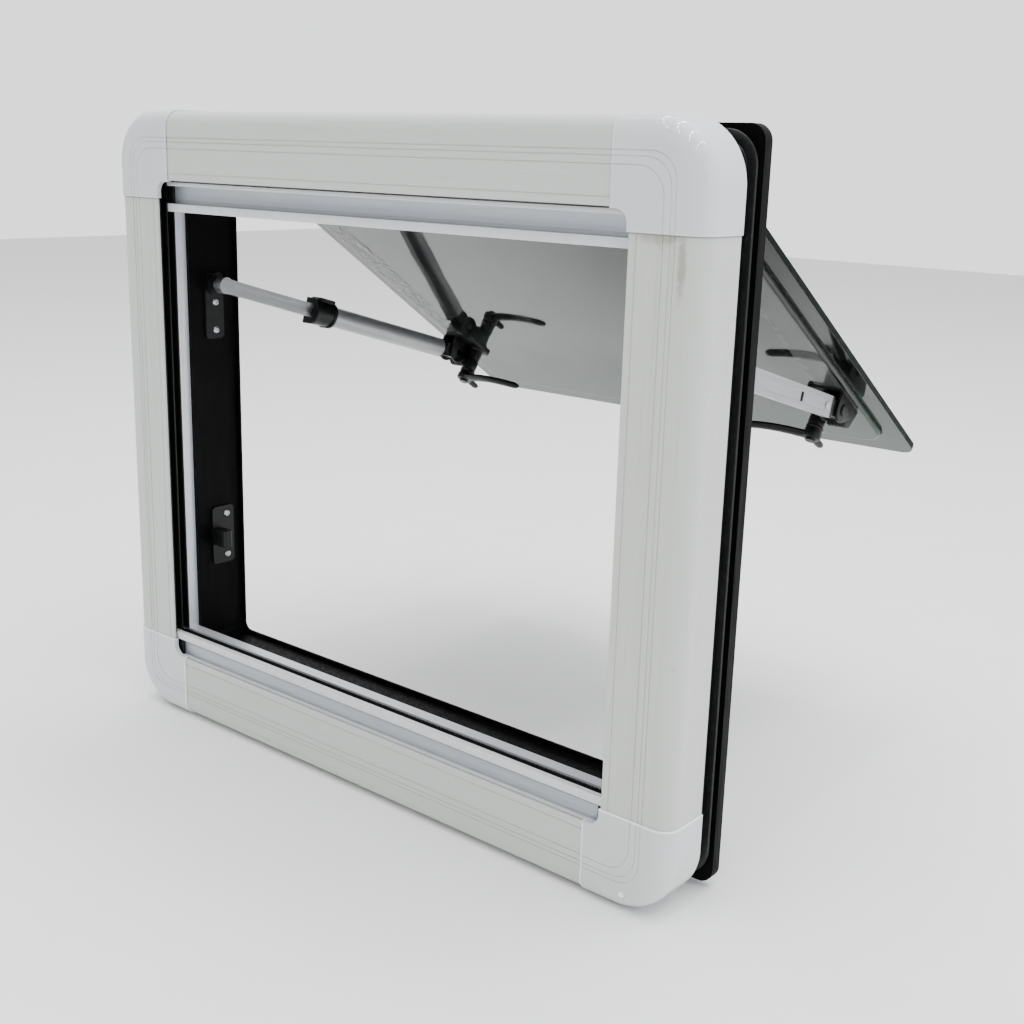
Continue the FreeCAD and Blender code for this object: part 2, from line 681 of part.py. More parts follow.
def pane_inner():
    """Inner acrylic sheet, formed with a raised middle that drops into the frame."""
    y0, y1 = PANE_INNER_Y, PANE_INNER_Y + INNER_T
    block = dome_block(0, DOME_Y, y1)
    rim = [e for e in block.Edges if e.BoundBox.YMax < DOME_Y + 1e-4]
    block = block.makeFillet(3.0, rim)
    sheet = union([pane(0, 0, y0, y1, PANE_R), block])
    return sheet.cut(dome_block(INNER_T, DOME_Y + INNER_T, y1))


def sash_hinge_profile():
    """Bead, arm and clip along the pane's top edge."""
    half = HINGE_HALF_L
    bead = rod_along(X_AXIS, BEAD_R, (-half, HINGE_Y, HINGE_Z), 2 * half)
    top = HINGE_Z - PANE_TOP
    arm = box(-half, half, HINGE_Y - ARM_T / 2, HINGE_Y + ARM_T / 2, top, HINGE_Z)
    y0, y1 = PANE_INNER_Y - CLIP_WALL, PANE_OUTER_Y + CLIP_WALL
    web = box(-half, half, y0, y1, top, top + CLIP_WALL)
    legs = [box(-half, half, y0, PANE_INNER_Y, top - CLIP_LEG, top + CLIP_WALL),
            box(-half, half, PANE_OUTER_Y, y1, top - CLIP_LEG, top + CLIP_WALL)]
    return union([bead, arm, web] + legs)


def stay_points():
    """Frame pivot and the sash pivot with the sash closed, as (y, z)."""
    frame_pivot = (STAY_PIVOT_Y, STAY_PIVOT_Z)
    sash_pivot = (HINGE_Y - STAY_STANDOFF, HINGE_Z - STAY_SEAT)
    return frame_pivot, sash_pivot


def swung(point, angle):
    """Point (y, z) turned with the sash."""
    t = math.radians(angle)
    dy, dz = point[0] - HINGE_Y, point[1] - HINGE_Z
    return (HINGE_Y + dy * math.cos(t) - dz * math.sin(t), HINGE_Z + dy * math.sin(t) + dz * math.cos(t))


def stay_pose(angle):
    """Sash pivot, direction to the frame pivot in degrees, and their distance at a sash angle."""
    frame_pivot, closed_pivot = stay_points()
    pivot = swung(closed_pivot, angle)
    dy, dz = frame_pivot[0] - pivot[0], frame_pivot[1] - pivot[1]
    return pivot, math.degrees(math.atan2(dz, dy)), math.hypot(dy, dz)


def stay_placed(shape):
    """Piece drawn along +Y from the sash pivot, put where the open stay lies."""
    pivot, turn, _ = stay_pose(OPEN_ANGLE)
    copy = turned(shape, turn, X_AXIS)
    copy.translate(FreeCAD.Vector(0, pivot[0], pivot[1]))
    return copy


def d_section(start, length, shrink):
    """D-shaped bar along Y: flat towards the jamb, round towards the middle of the window."""
    half_h = TUBE_H / 2 - shrink
    flat = STAY_X + TUBE_W / 2 - shrink
    nose = STAY_X - TUBE_W / 2 + shrink
    turn = STAY_X
    corner = [FreeCAD.Vector(flat, start, -half_h), FreeCAD.Vector(flat, start, half_h),
              FreeCAD.Vector(turn, start, half_h), FreeCAD.Vector(turn, start, -half_h)]
    arc = Part.Arc(corner[2], FreeCAD.Vector(nose, start, 0), corner[3]).toShape()
    wire = Part.Wire([Part.makeLine(corner[3], corner[0]), Part.makeLine(corner[0], corner[1]),
                      Part.makeLine(corner[1], corner[2]), arc])
    return Part.Face(wire).extrude(Y_AXIS * length)


def rivet_hole(radius):
    """Cross hole for the rivet, through the tube's flat wall into the end fitting."""
    return rod_along(X_AXIS, radius, (STAY_X, TUBE_START + RIVET_INSET, 0), TUBE_W)


def stay_tube():
    """Outer tube of the telescopic stay, with its rivet hole and its catch slot."""
    tube = d_section(TUBE_START, TUBE_L, 0).cut(d_section(TUBE_START, TUBE_L, TUBE_SHELL))
    slot = box(STAY_X, STAY_X + TUBE_W, TUBE_START + SLOT_INSET, TUBE_START + SLOT_INSET + 5, -4, 4)
    return tube.cut(slot).cut(rivet_hole(RIVET_R + HOLE_CLEAR))


def end_fitting():
    """Moulded end of the stay: a plug in the tube, a shoulder and an eye on the pivot pin."""
    plug = d_section(TUBE_START, 28, TUBE_SHELL + 0.05)
    shoulder = d_section(TUBE_START - 4, 4, 0)
    ear_face = TUBE_W / 2 - 0.5
    neck = box(STAY_X - ear_face, STAY_X + ear_face, 0, TUBE_START - 4, -EYE_R + 1, EYE_R - 1)
    eye = rod_along(X_AXIS, EYE_R, (STAY_X - ear_face, 0, 0), 2 * ear_face)
    body = union([plug, shoulder, neck, eye])
    body = body.cut(rod_along(X_AXIS, PIN_R + RUN_CLEAR, (STAY_X - TUBE_W, 0, 0), 2 * TUBE_W))
    return body.cut(rivet_hole(RIVET_R + HOLE_CLEAR))


def stay_rivet():
    """Blind rivet through the tube's flat wall."""
    y = TUBE_START + RIVET_INSET
    flat = STAY_X + TUBE_W / 2
    shank = rod_along(X_AXIS, RIVET_R, (STAY_X + 1, y, 0), flat - STAY_X - 1)
    head = rod_along(X_AXIS, RIVET_R + 1.4, (flat, y, 0), 1.0)
    return union([shank, head])


def rod_bar(start, length, grow):
    """Grooved bar that telescopes in the stay."""
    half_w, half_h = ROD_W / 2 + grow, ROD_H / 2 + grow
    middle = STAY_X + ROD_SHIFT
    bar = box(middle - half_w, middle + half_w, start, start + length, -half_h, half_h)
    for side in (-1, 1):
        outer = middle + side * (half_w + 1)
        inner = middle + side * (half_w - ROD_GROOVE)
        half_groove = ROD_GROOVE_H / 2 - grow
        bar = bar.cut(box(inner, outer, start - 1, start + length + 1, -half_groove, half_groove))
    return bar


def collar():
    """Black bush on the tube's open end, with a thumb tab."""
    end = TUBE_START + TUBE_L
    start = end + COLLAR_OVERHANG - COLLAR_L
    cap = d_section(start, COLLAR_L, -COLLAR_WALL)
    cap = cap.cut(d_section(start, COLLAR_L - COLLAR_OVERHANG, -0.05))
    grip = box(STAY_X - TUBE_W / 2, STAY_X + TUBE_W / 2, start + 4, start + COLLAR_L - 4,
               -TUBE_H / 2 - COLLAR_WALL - 2.2, -TUBE_H / 2 - 0.6)
    cap = union([cap, grip])
    return cap.cut(rod_bar(start - 1, COLLAR_L + 2, SLIDE_CLEAR))


def stay_rod():
    """Inner rod with a round end and the stud that faces the frame's bracket."""
    _, _, reach = stay_pose(OPEN_ANGLE)
    bar = rod_bar(reach - ROD_TAIL, ROD_TAIL, 0)
    middle = STAY_X + ROD_SHIFT
    disc = rod_along(X_AXIS, ROD_DISC_R, (middle - ROD_W / 2 - 1, reach, 0), ROD_W + 2)
    stud_start = middle + ROD_W / 2
    stud_end = JAMB_X - PLATE_T - BOSS_H - STUD_GAP
    stud = rod_along(X_AXIS, STUD_R, (stud_start, reach, 0), stud_end - stud_start)
    return union([bar, disc, stud])


def jamb_screws(grow=0.0):
    """Screws of the stay brackets and the catches; grown, they are the holes for them."""
    y_stay = STAY_PIVOT_Y + 2
    z_stay = STAY_PIVOT_Z - STAY_PLATE_OFFSET
    y_catch = STAY_PIVOT_Y + 8
    z_catch = HINGE_Z - LATCH_SEAT
    places = [(y_stay, z_stay), (y_stay, z_stay - STAY_PLATE_PITCH),
              (y_catch, z_catch + CATCH_PITCH / 2), (y_catch, z_catch - CATCH_PITCH / 2)]
    screws = []
    for y, z in places:
        head_x = JAMB_X - PLATE_T - SCREW_HEAD_H
        head = rod_along(X_AXIS, SCREW_HEAD_R, (head_x, y, z), SCREW_HEAD_H)
        shank = rod_along(X_AXIS, SCREW_R + grow, (head_x + SCREW_HEAD_H, y, z), PLATE_T + NECK_WALL + 3)
        screw = union([head, shank]) if grow == 0 else shank
        screws += [screw, mirrored_x(screw)]
    return screws


def stay_bracket():
    """Plate on the right jamb with the boss that the stay's stud turns at."""
    y, z = STAY_PIVOT_Y, STAY_PIVOT_Z
    low = z - STAY_PLATE_OFFSET - STAY_PLATE_PITCH - 8
    plate = box(JAMB_X - PLATE_T, JAMB_X, y - 9, y + 11, low, z + 10)
    uprights = [e for e in plate.Edges if abs(e.tangentAt(e.FirstParameter).x) > 0.9]
    plate = plate.makeFillet(4.0, uprights)
    boss = rod_along(X_AXIS, 9.0, (JAMB_X - PLATE_T - BOSS_H, y, z), BOSS_H + PLATE_T)
    body = union([plate, boss])
    for screw in jamb_screws(HOLE_CLEAR)[0:4:2]:
        body = body.cut(screw)
    return body


def catch_plate():
    """Plate on the right jamb with the nose that the latch's hook turns behind."""
    z = HINGE_Z - LATCH_SEAT
    hook_back = HINGE_Y - POST_TOP - HUB_H + HOOK_T
    y0 = hook_back + CATCH_BEARING_GAP
    y_screw = STAY_PIVOT_Y + 8
    plate = box(JAMB_X - PLATE_T, JAMB_X, y0, y_screw + 8, z - CATCH_PITCH / 2 - 8, z + CATCH_PITCH / 2 + 8)
    uprights = [e for e in plate.Edges if abs(e.tangentAt(e.FirstParameter).x) > 0.9]
    plate = plate.makeFillet(4.0, uprights)
    nose = box(JAMB_X - CATCH_NOSE, JAMB_X, y0, y0 + 9, z - CATCH_NOSE_H / 2, z + CATCH_NOSE_H / 2)
    tip = [e for e in nose.Edges if abs(e.tangentAt(e.FirstParameter).z) > 0.9
           and e.BoundBox.XMax < JAMB_X - CATCH_NOSE + 1]
    body = union([plate, nose.makeFillet(2.0, tip)])
    for screw in jamb_screws(HOLE_CLEAR)[4:8:2]:
        body = body.cut(screw)
    return body


def along(distance):
    """Z of a point on the closed pane, from its distance to the hinge axis."""
    return HINGE_Z - distance


def pane_bracket():
    """Moulded bracket on the pane: ears for the stay, a ribbed hood and the latch's post."""
    ear_face = TUBE_W / 2 - 0.5 + EAR_GAP
    x_in, x_out = STAY_X - ear_face, STAY_X + ear_face
    pivot_y = HINGE_Y - STAY_STANDOFF
    base_y = DOME_Y - BASE_T
    left = LATCH_X - POST_R - 1
    right = x_out + EAR_T
    low, high = along(LATCH_SEAT + 14), along(STAY_SEAT - 22)
    base = box(left, right, base_y, DOME_Y, low, high)
    uprights = [e for e in base.Edges if abs(e.tangentAt(e.FirstParameter).y) > 0.9]
    base = base.makeFillet(5.0, uprights)
    ears = [box(x_in - EAR_T, x_in, pivot_y - EYE_R, base_y, along(STAY_SEAT + 11), along(STAY_SEAT - 9)),
            box(x_out, right, pivot_y - EYE_R, base_y, along(STAY_SEAT + 11), along(STAY_SEAT - 9))]
    hood_top = pivot_y - EYE_R
    hood_z = along(STAY_SEAT + EYE_R + 1.5)
    hood = box(x_in - EAR_T, right, hood_top, base_y, low, hood_z)
    slope = [e for e in hood.Edges if abs(e.tangentAt(e.FirstParameter).x) > 0.9
             and e.BoundBox.YMax < hood_top + 1 and e.BoundBox.ZMax < low + 1]
    hood = hood.makeFillet(9.0, slope)
    rib_pitch = (right - x_in + EAR_T) / 6
    for i in range(1, 6):
        x = x_in - EAR_T + i * rib_pitch
        hood = hood.cut(box(x - 0.5, x + 0.5, hood_top, hood_top + 0.8, low, hood_z))
    post_y = HINGE_Y - POST_TOP
    post = rod_along(Y_AXIS, POST_R, (LATCH_X, post_y, along(LATCH_SEAT)), base_y - post_y)
    web = box(LATCH_X, x_in, hood_top + 3, base_y, along(LATCH_SEAT + 5), along(LATCH_SEAT - 5))
    body = union([base] + ears + [hood, post, web])
    pin_start = (LATCH_X, pivot_y, along(STAY_SEAT))
    pin_hole = rod_along(X_AXIS, PIN_R + HOLE_CLEAR, pin_start, right - LATCH_X + 1)
    body = body.cut(pin_hole)
    screw_hole = rod_along(Y_AXIS, LATCH_PIN_R + HOLE_CLEAR, (LATCH_X, post_y - 1, along(LATCH_SEAT)), 14)
    return body.cut(screw_hole)


def pivot_pin():
    """Pin of the stay through the ears of the pane bracket."""
    ear_face = TUBE_W / 2 - 0.5 + EAR_GAP
    y, z = HINGE_Y - STAY_STANDOFF, along(STAY_SEAT)
    x0 = STAY_X - ear_face - EAR_T
    pin = rod_along(X_AXIS, PIN_R, (x0, y, z), 2 * (ear_face + EAR_T))
    head = rod_along(X_AXIS, PIN_R + 1.5, (STAY_X + ear_face + EAR_T, y, z), 1.2)
    return union([pin, head])


def latch_screw():
    """Shouldered screw that the latch turns on."""
    z = along(LATCH_SEAT)
    top = HINGE_Y - POST_TOP - HUB_H
    shank = rod_along(Y_AXIS, LATCH_PIN_R, (LATCH_X, top - 0.3, z), HUB_H + 0.3 + 12)
    head = rod_along(Y_AXIS, LATCH_PIN_R + 2, (LATCH_X, top - 0.3 - 2, z), 2.0)
    return union([shank, head])


def latch():
    """Latch: a hub, a long curved lever towards the middle and a short hook down the pane."""
    z = along(LATCH_SEAT)
    y_top = HINGE_Y - POST_TOP - HUB_H
    y_low = HINGE_Y - POST_TOP - STUD_GAP
    hub = rod_along(Y_AXIS, HUB_R, (LATCH_X, y_top, z), y_low - y_top)
    lift = 6.0
    root_w, tip_w = LEVER_W / 2 + 1.5, LEVER_W / 2 - 0.8
    tip_x = LATCH_X - LEVER_L
    mid_x = LATCH_X - LEVER_L / 2

    def at(x, dz):
        return FreeCAD.Vector(x, y_top, z + dz)

    upper = Part.Arc(at(LATCH_X, root_w), at(mid_x, lift + LEVER_W / 2 - 1), at(tip_x, tip_w)).toShape()
    end = Part.Arc(at(tip_x, tip_w), at(tip_x - tip_w, 0), at(tip_x, -tip_w)).toShape()
    lower = Part.Arc(at(tip_x, -tip_w), at(mid_x, lift - LEVER_W / 2), at(LATCH_X, -root_w)).toShape()
    close = Part.makeLine(at(LATCH_X, -root_w), at(LATCH_X, root_w))
    lever = Part.Face(Part.Wire([upper, end, lower, close])).extrude(Y_AXIS * LEVER_T)
    half = LEVER_W / 2 - 0.5
    hook = box(LATCH_X - half, LATCH_X + half, y_top, y_top + HOOK_T, z - HOOK_L + half, z)
    nose = rod_along(Y_AXIS, half, (LATCH_X, y_top, z - HOOK_L + half), HOOK_T)
    body = union([hub, lever, hook, nose])
    return body.cut(rod_along(Y_AXIS, LATCH_PIN_R + RUN_CLEAR, (LATCH_X, y_top - 1, z), HUB_H + 2))


def opened(shape):
    """Sash piece turned from closed to its open place."""
    return turned(shape, OPEN_ANGLE, X_AXIS, FreeCAD.Vector(0, HINGE_Y, HINGE_Z))


def sides(name, right_piece):
    """Right-hand piece and its mirror image, as two nodes."""
    return {name + "_right": right_piece, name + "_left": mirrored_x(right_piece)}


def pairs(right_piece):
    """Right-hand piece and its mirror image, as one group."""
    return group([right_piece, mirrored_x(right_piece)])


def corners(name, top_right):
    """Top right piece and its three mirror images, as four nodes."""
    top_left = mirrored_x(top_right)
    return {name + "_top_right": top_right, name + "_top_left": top_left,
            name + "_bottom_right": mirrored_z(top_right), name + "_bottom_left": mirrored_z(top_left)}


def all_corners(top_right):
    """Top right piece and its three mirror images, as one group."""
    return group(list(corners("", top_right).values()))


def roller_pieces(front, upper, name):
    """Roller, roll and sheet of one blind."""
    return {name + "_roller_tube": roller_tube(front, upper),
            name + "_roll": wound_fabric(front, upper),
            name + "_sheet": fabric_drop(front, upper)}


def nodes():
    """Every node of the window, by name."""
    made = {"inner_rail_" + side: rail(side) for side in SIDE_TURN}
    made.update(corners("corner_cover", corner_cover()))
    made["corner_keys"] = all_corners(corner_key())
    made.update(sides("guide", guide()))
    made.update({"back_strip_" + side: back_strip(side) for side in SIDE_TURN})
    made["slot_brush_top"] = slot_brush(True)
    made["slot_brush_bottom"] = slot_brush(False)
    made["clamp_screws"] = group(each_clamp())
    made["blind_bar"] = pull_bar(REAR_BAR, False)
    made["blind_bar_plugs"] = bar_plugs(REAR_BAR, False)
    made["screen_bar"] = pull_bar(FRONT_BAR, True)
    made["screen_bar_plugs"] = bar_plugs(FRONT_BAR, True)
    made.update(roller_pieces(REAR_BAR, True, "blind"))
    made.update(roller_pieces(FRONT_BAR, False, "screen"))
    rollers = ((REAR_BAR, True), (FRONT_BAR, False))
    brackets = [roller_bracket(*r) for r in rollers]
    spring_l = SPRING_PITCH * SPRING_TURNS
    spindles = [spindle(*r, spring_l) for r in rollers]
    plain_spindles = [mirrored_x(spindle(*r, 0)) for r in rollers]
    made["roller_brackets"] = group(brackets + [mirrored_x(b) for b in brackets])
    made["roller_spindles"] = group(spindles + plain_spindles)
    made["roller_springs"] = group([roller_spring(*r) for r in rollers])
    made["outer_frame"] = outer_frame()
    made["flange_seal"] = flange_seal()
    made["sash_seal"] = sash_seal()
    made["hinge_rail"] = hinge_rail()
    made.update(sides("stay_bracket", stay_bracket()))
    made.update(sides("catch_plate", catch_plate()))
    made["jamb_screws"] = group(jamb_screws())
    made["pane_outer"] = opened(pane_outer())
    made["pane_bond"] = opened(pane_bond())
    made["pane_inner"] = opened(pane_inner())
    made["sash_hinge_profile"] = opened(sash_hinge_profile())
    made.update(sides("pane_bracket", opened(pane_bracket())))
    made["stay_pivot_pins"] = pairs(opened(pivot_pin()))
    made["latch_screws"] = pairs(opened(latch_screw()))
    made.update(sides("latch", opened(latch())))
    made.update(sides("stay_tube", stay_placed(stay_tube())))
    made.update(sides("stay_collar", stay_placed(collar())))
    made.update(sides("stay_end_fitting", stay_placed(end_fitting())))
    made.update(sides("stay_rivet", stay_placed(stay_rivet())))
    made.update(sides("stay_rod", stay_placed(stay_rod())))
    return made


os.makedirs("parts", exist_ok=True)
for node_name, node_shape in nodes().items():
    if not node_shape.isValid():
        raise ValueError(node_name + " is not a valid solid")
    node_shape.exportStep("parts/" + node_name + ".step")
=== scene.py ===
"""Looks of a top-hung caravan window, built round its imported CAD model.

The CAD model gives every place and size; this script adds the finishes, the softened and worn
detail, the cloths, seals and brushes, a plain pale stage and a camera. Metres throughout.
"""

import logging
import math
from collections.abc import Iterable, Sequence
from dataclasses import dataclass
from enum import Enum

import bmesh
import bpy
from mathutils import Euler, Matrix, Vector, noise


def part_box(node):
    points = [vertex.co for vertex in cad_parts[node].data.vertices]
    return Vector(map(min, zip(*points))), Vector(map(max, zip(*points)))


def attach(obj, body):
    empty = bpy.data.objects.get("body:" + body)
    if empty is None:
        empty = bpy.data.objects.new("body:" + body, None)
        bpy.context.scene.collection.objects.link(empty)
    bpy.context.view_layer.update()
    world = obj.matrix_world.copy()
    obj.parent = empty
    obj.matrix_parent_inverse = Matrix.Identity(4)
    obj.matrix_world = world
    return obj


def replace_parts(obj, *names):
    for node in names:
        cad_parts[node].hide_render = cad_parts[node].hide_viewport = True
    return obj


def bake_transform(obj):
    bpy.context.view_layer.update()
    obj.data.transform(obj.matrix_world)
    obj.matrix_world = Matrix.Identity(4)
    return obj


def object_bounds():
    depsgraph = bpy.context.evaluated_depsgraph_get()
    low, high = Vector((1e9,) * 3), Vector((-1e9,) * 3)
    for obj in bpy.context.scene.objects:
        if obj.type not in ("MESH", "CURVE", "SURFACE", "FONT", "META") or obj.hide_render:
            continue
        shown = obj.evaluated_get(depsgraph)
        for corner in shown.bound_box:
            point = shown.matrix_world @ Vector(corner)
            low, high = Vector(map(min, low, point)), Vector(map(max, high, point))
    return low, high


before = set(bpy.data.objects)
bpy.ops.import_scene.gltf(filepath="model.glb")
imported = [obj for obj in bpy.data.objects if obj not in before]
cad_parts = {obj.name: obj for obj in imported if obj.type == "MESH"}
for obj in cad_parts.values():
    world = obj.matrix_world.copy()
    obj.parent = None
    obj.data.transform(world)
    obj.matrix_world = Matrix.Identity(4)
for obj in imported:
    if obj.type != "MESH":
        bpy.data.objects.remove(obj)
CAD_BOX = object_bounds()

LOG = logging.getLogger("caravan_window")
MM = 0.001
SIDES = {"left": -1, "right": 1}

# Where the frame's own pieces lie, read from their boxes.
RAIL_FACE_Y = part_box("inner_rail_right")[0].y
JAMB_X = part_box("stay_bracket_right")[1].x
COVER_LIP_X, _, COVER_LIP_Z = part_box("corner_cover_top_right")[0]
STAY_X = 227 * MM
HINGE = Vector((0.0, 16 * MM, 250 * MM))
SASH_PIVOT = HINGE + Vector((0.0, -21 * MM, -345 * MM))
FRAME_PIVOT = Vector((0.0, -15 * MM, 127 * MM))
OPEN_ANGLE = math.radians(56)
OPENED = (
    Matrix.Translation(HINGE) @ Matrix.Rotation(OPEN_ANGLE, 4, "X") @ Matrix.Translation(-HINGE)
)
CLOSED_FROM_OPEN = OPENED.inverted()


# ---------------------------------------------------------------- colour and node helpers


def linear(code: str) -> tuple[float, float, float, float]:
    """Turns an sRGB hex colour into linear RGBA.

    Args:
        code: Six hex digits after a hash.

    Returns:
        Linear red, green, blue and an alpha of one.
    """
    parts = [int(code[i : i + 2], 16) / 255 for i in (1, 3, 5)]
    toned = [c / 12.92 if c <= 0.04045 else ((c + 0.055) / 1.055) ** 2.4 for c in parts]
    return (*toned, 1.0)


def per_metre(size_mm: float) -> float:
    """Pattern scale that gives one repeat every so many millimetres."""
    return 1000.0 / size_mm


def node(
    tree: bpy.types.NodeTree,
    kind: str,
    inputs: dict[str | int, object] | None = None,
    **settings: object,
) -> bpy.types.Node:
    """Adds a node with its settings and links.

    Args:
        tree: Node tree that takes the node.
        kind: Blender's name of the node type.
        inputs: Values or sockets by input name, or by number where inputs share a name.
        settings: Attributes of the node.

    Returns:
        The new node.
    """
    made = tree.nodes.new(kind)
    for name, value in settings.items():
        setattr(made, name, value)
    for socket, value in (inputs or {}).items():
        if isinstance(value, bpy.types.NodeSocket):
            tree.links.new(value, made.inputs[socket])
        else:
            made.inputs[socket].default_value = value
    return made


# ---------------------------------------------------------------- finishes


@dataclass(frozen=True)
class Skin:
    """A material as it is built up: its nodes, its shader and the coordinates of its patterns.

    Attributes:
        tree: The material's nodes.
        shader: Its Principled shader.
        place: Object coordinates.
    """

    tree: bpy.types.NodeTree
    shader: bpy.types.Node
    place: bpy.types.NodeSocket

    def lay(
        self,
        below: bpy.types.NodeSocket | str,
        pattern: bpy.types.NodeSocket,
        colour: str,
        reach: tuple[float, float] | None = None,
        cover: float = 1.0,
    ) -> bpy.types.NodeSocket:
        """Lays a colour over another where a pattern is strong.

        Args:
            below: Colour below, as a socket or sRGB hex.
            pattern: Where the new colour lies.
            colour: sRGB hex of the new colour.
            reach: Values of the pattern where the colour starts and where it is strongest; with
                none the pattern itself is the cover.
            cover: Strongest cover.

        Returns:
            The colour on top.
        """
        mask = pattern
        if reach is not None:
            mask = node(
                self.tree, "ShaderNodeMapRange",
                {"Value": pattern, "From Min": reach[0], "From Max": reach[1], "To Max": cover},
                interpolation_type="SMOOTHSTEP",
            ).outputs[0]
        under = linear(below) if isinstance(below, str) else below
        mixed = node(self.tree, "ShaderNodeMix", {0: mask, 6: under, 7: linear(colour)}, data_type="RGBA")
        return mixed.outputs[2]

    def paint(self, colour: bpy.types.NodeSocket) -> None:
        """Gives the shader its colour."""
        self.tree.links.new(colour, self.shader.inputs["Base Color"])

    def vary(
        self,
        socket: str,
        pattern: bpy.types.NodeSocket,
        reach: tuple[float, float],
        values: tuple[float, float],
    ) -> None:
        """Lets a value of the shader follow a pattern.

        Args:
            socket: Shader input.
            pattern: Pattern that it follows.
            reach: Two values of the pattern.
            values: The shader's values there.
        """
        ranged = node(
            self.tree, "ShaderNodeMapRange",
            {"Value": pattern, "From Min": reach[0], "From Max": reach[1], "To Min": values[0],
             "To Max": values[1]},
            interpolation_type="SMOOTHSTEP",
        )
        self.tree.links.new(ranged.outputs[0], self.shader.inputs[socket])

    def emboss(self, height: bpy.types.NodeSocket, strength: float, depth: float) -> None:
        """Presses a pattern into the surface.

        Args:
            height: The pattern.
            strength: How much of it shows.
            depth: Its depth in metres.
        """
        bump = node(self.tree, "ShaderNodeBump", {"Strength": strength, "Distance": depth, "Height": height})
        self.tree.links.new(bump.outputs[0], self.shader.inputs["Normal"])

    def blot(self, middle: Vector, reach: Vector, grain: bpy.types.NodeSocket) -> bpy.types.NodeSocket:
        """Measures how far a point is from an oval blot with a ragged rim.

        Args:
            middle: Middle of the blot.
            reach: Its half sizes.
            grain: Pattern that makes its rim ragged.

        Returns:
            Distance in half sizes, plus the grain.
        """
        offset = node(self.tree, "ShaderNodeVectorMath", {0: self.place, 1: middle}, operation="SUBTRACT")
        scaled = node(self.tree, "ShaderNodeVectorMath", {0: offset.outputs[0], 1: reach}, operation="DIVIDE")
        far = node(self.tree, "ShaderNodeVectorMath", {0: scaled.outputs[0]}, operation="LENGTH")
        return node(self.tree, "ShaderNodeMath", {0: far.outputs[1], 1: grain}, operation="ADD").outputs[0]

    def closed_place(self) -> bpy.types.NodeSocket:
        """Returns the coordinates on the sash as it lies when closed."""
        return node(
            self.tree, "ShaderNodeMapping",
            {"Vector": self.place, "Location": CLOSED_FROM_OPEN.to_translation(),
             "Rotation": CLOSED_FROM_OPEN.to_euler()},
        ).outputs[0]


@dataclass(frozen=True)
class Finish:
    """Base of every surface finish: one named material, built once.

    Attributes:
        name: Material and process.
        colour: sRGB hex of the clean surface.
        roughness: Roughness of the clean surface.
        metallic: One for bare metal.
        ior: Refractive index; metals keep the default.
        specular: Specular level.
    """

    name: str
    colour: str
    roughness: float
    metallic: float = 0.0
    ior: float = 1.5
    specular: float = 0.5

    def material(self) -> bpy.types.Material:
        """Returns the material, and makes it on the first call."""
        known = bpy.data.materials.get(self.name)
        if known is not None:
            return known
        made = bpy.data.materials.new(self.name)
        made.use_nodes = True
        tree = made.node_tree
        shader = tree.nodes["Principled BSDF"]
        values = {
            "Base Color": linear(self.colour),
            "Roughness": self.roughness,
            "Metallic": self.metallic,
            "IOR": self.ior,
            "Specular IOR Level": self.specular,
        }
        for socket, value in values.items():
            shader.inputs[socket].default_value = value
        self.dress(Skin(tree, shader, node(tree, "ShaderNodeTexCoord").outputs["Object"]))
        return made

    def dress(self, skin: Skin) -> None:
        """Adds the finish's own pattern. Each finish overrides this.

        Args:
            skin: The material as it is built up.
        """
        raise NotImplementedError


class Run(Enum):
    """Direction that a rolled or extruded piece runs, as the stretch of its streaks."""

    ACROSS = (0.012, 1.0, 1.0)
    UPRIGHT = (1.0, 1.0, 0.012)
    INTO = (1.0, 0.012, 1.0)


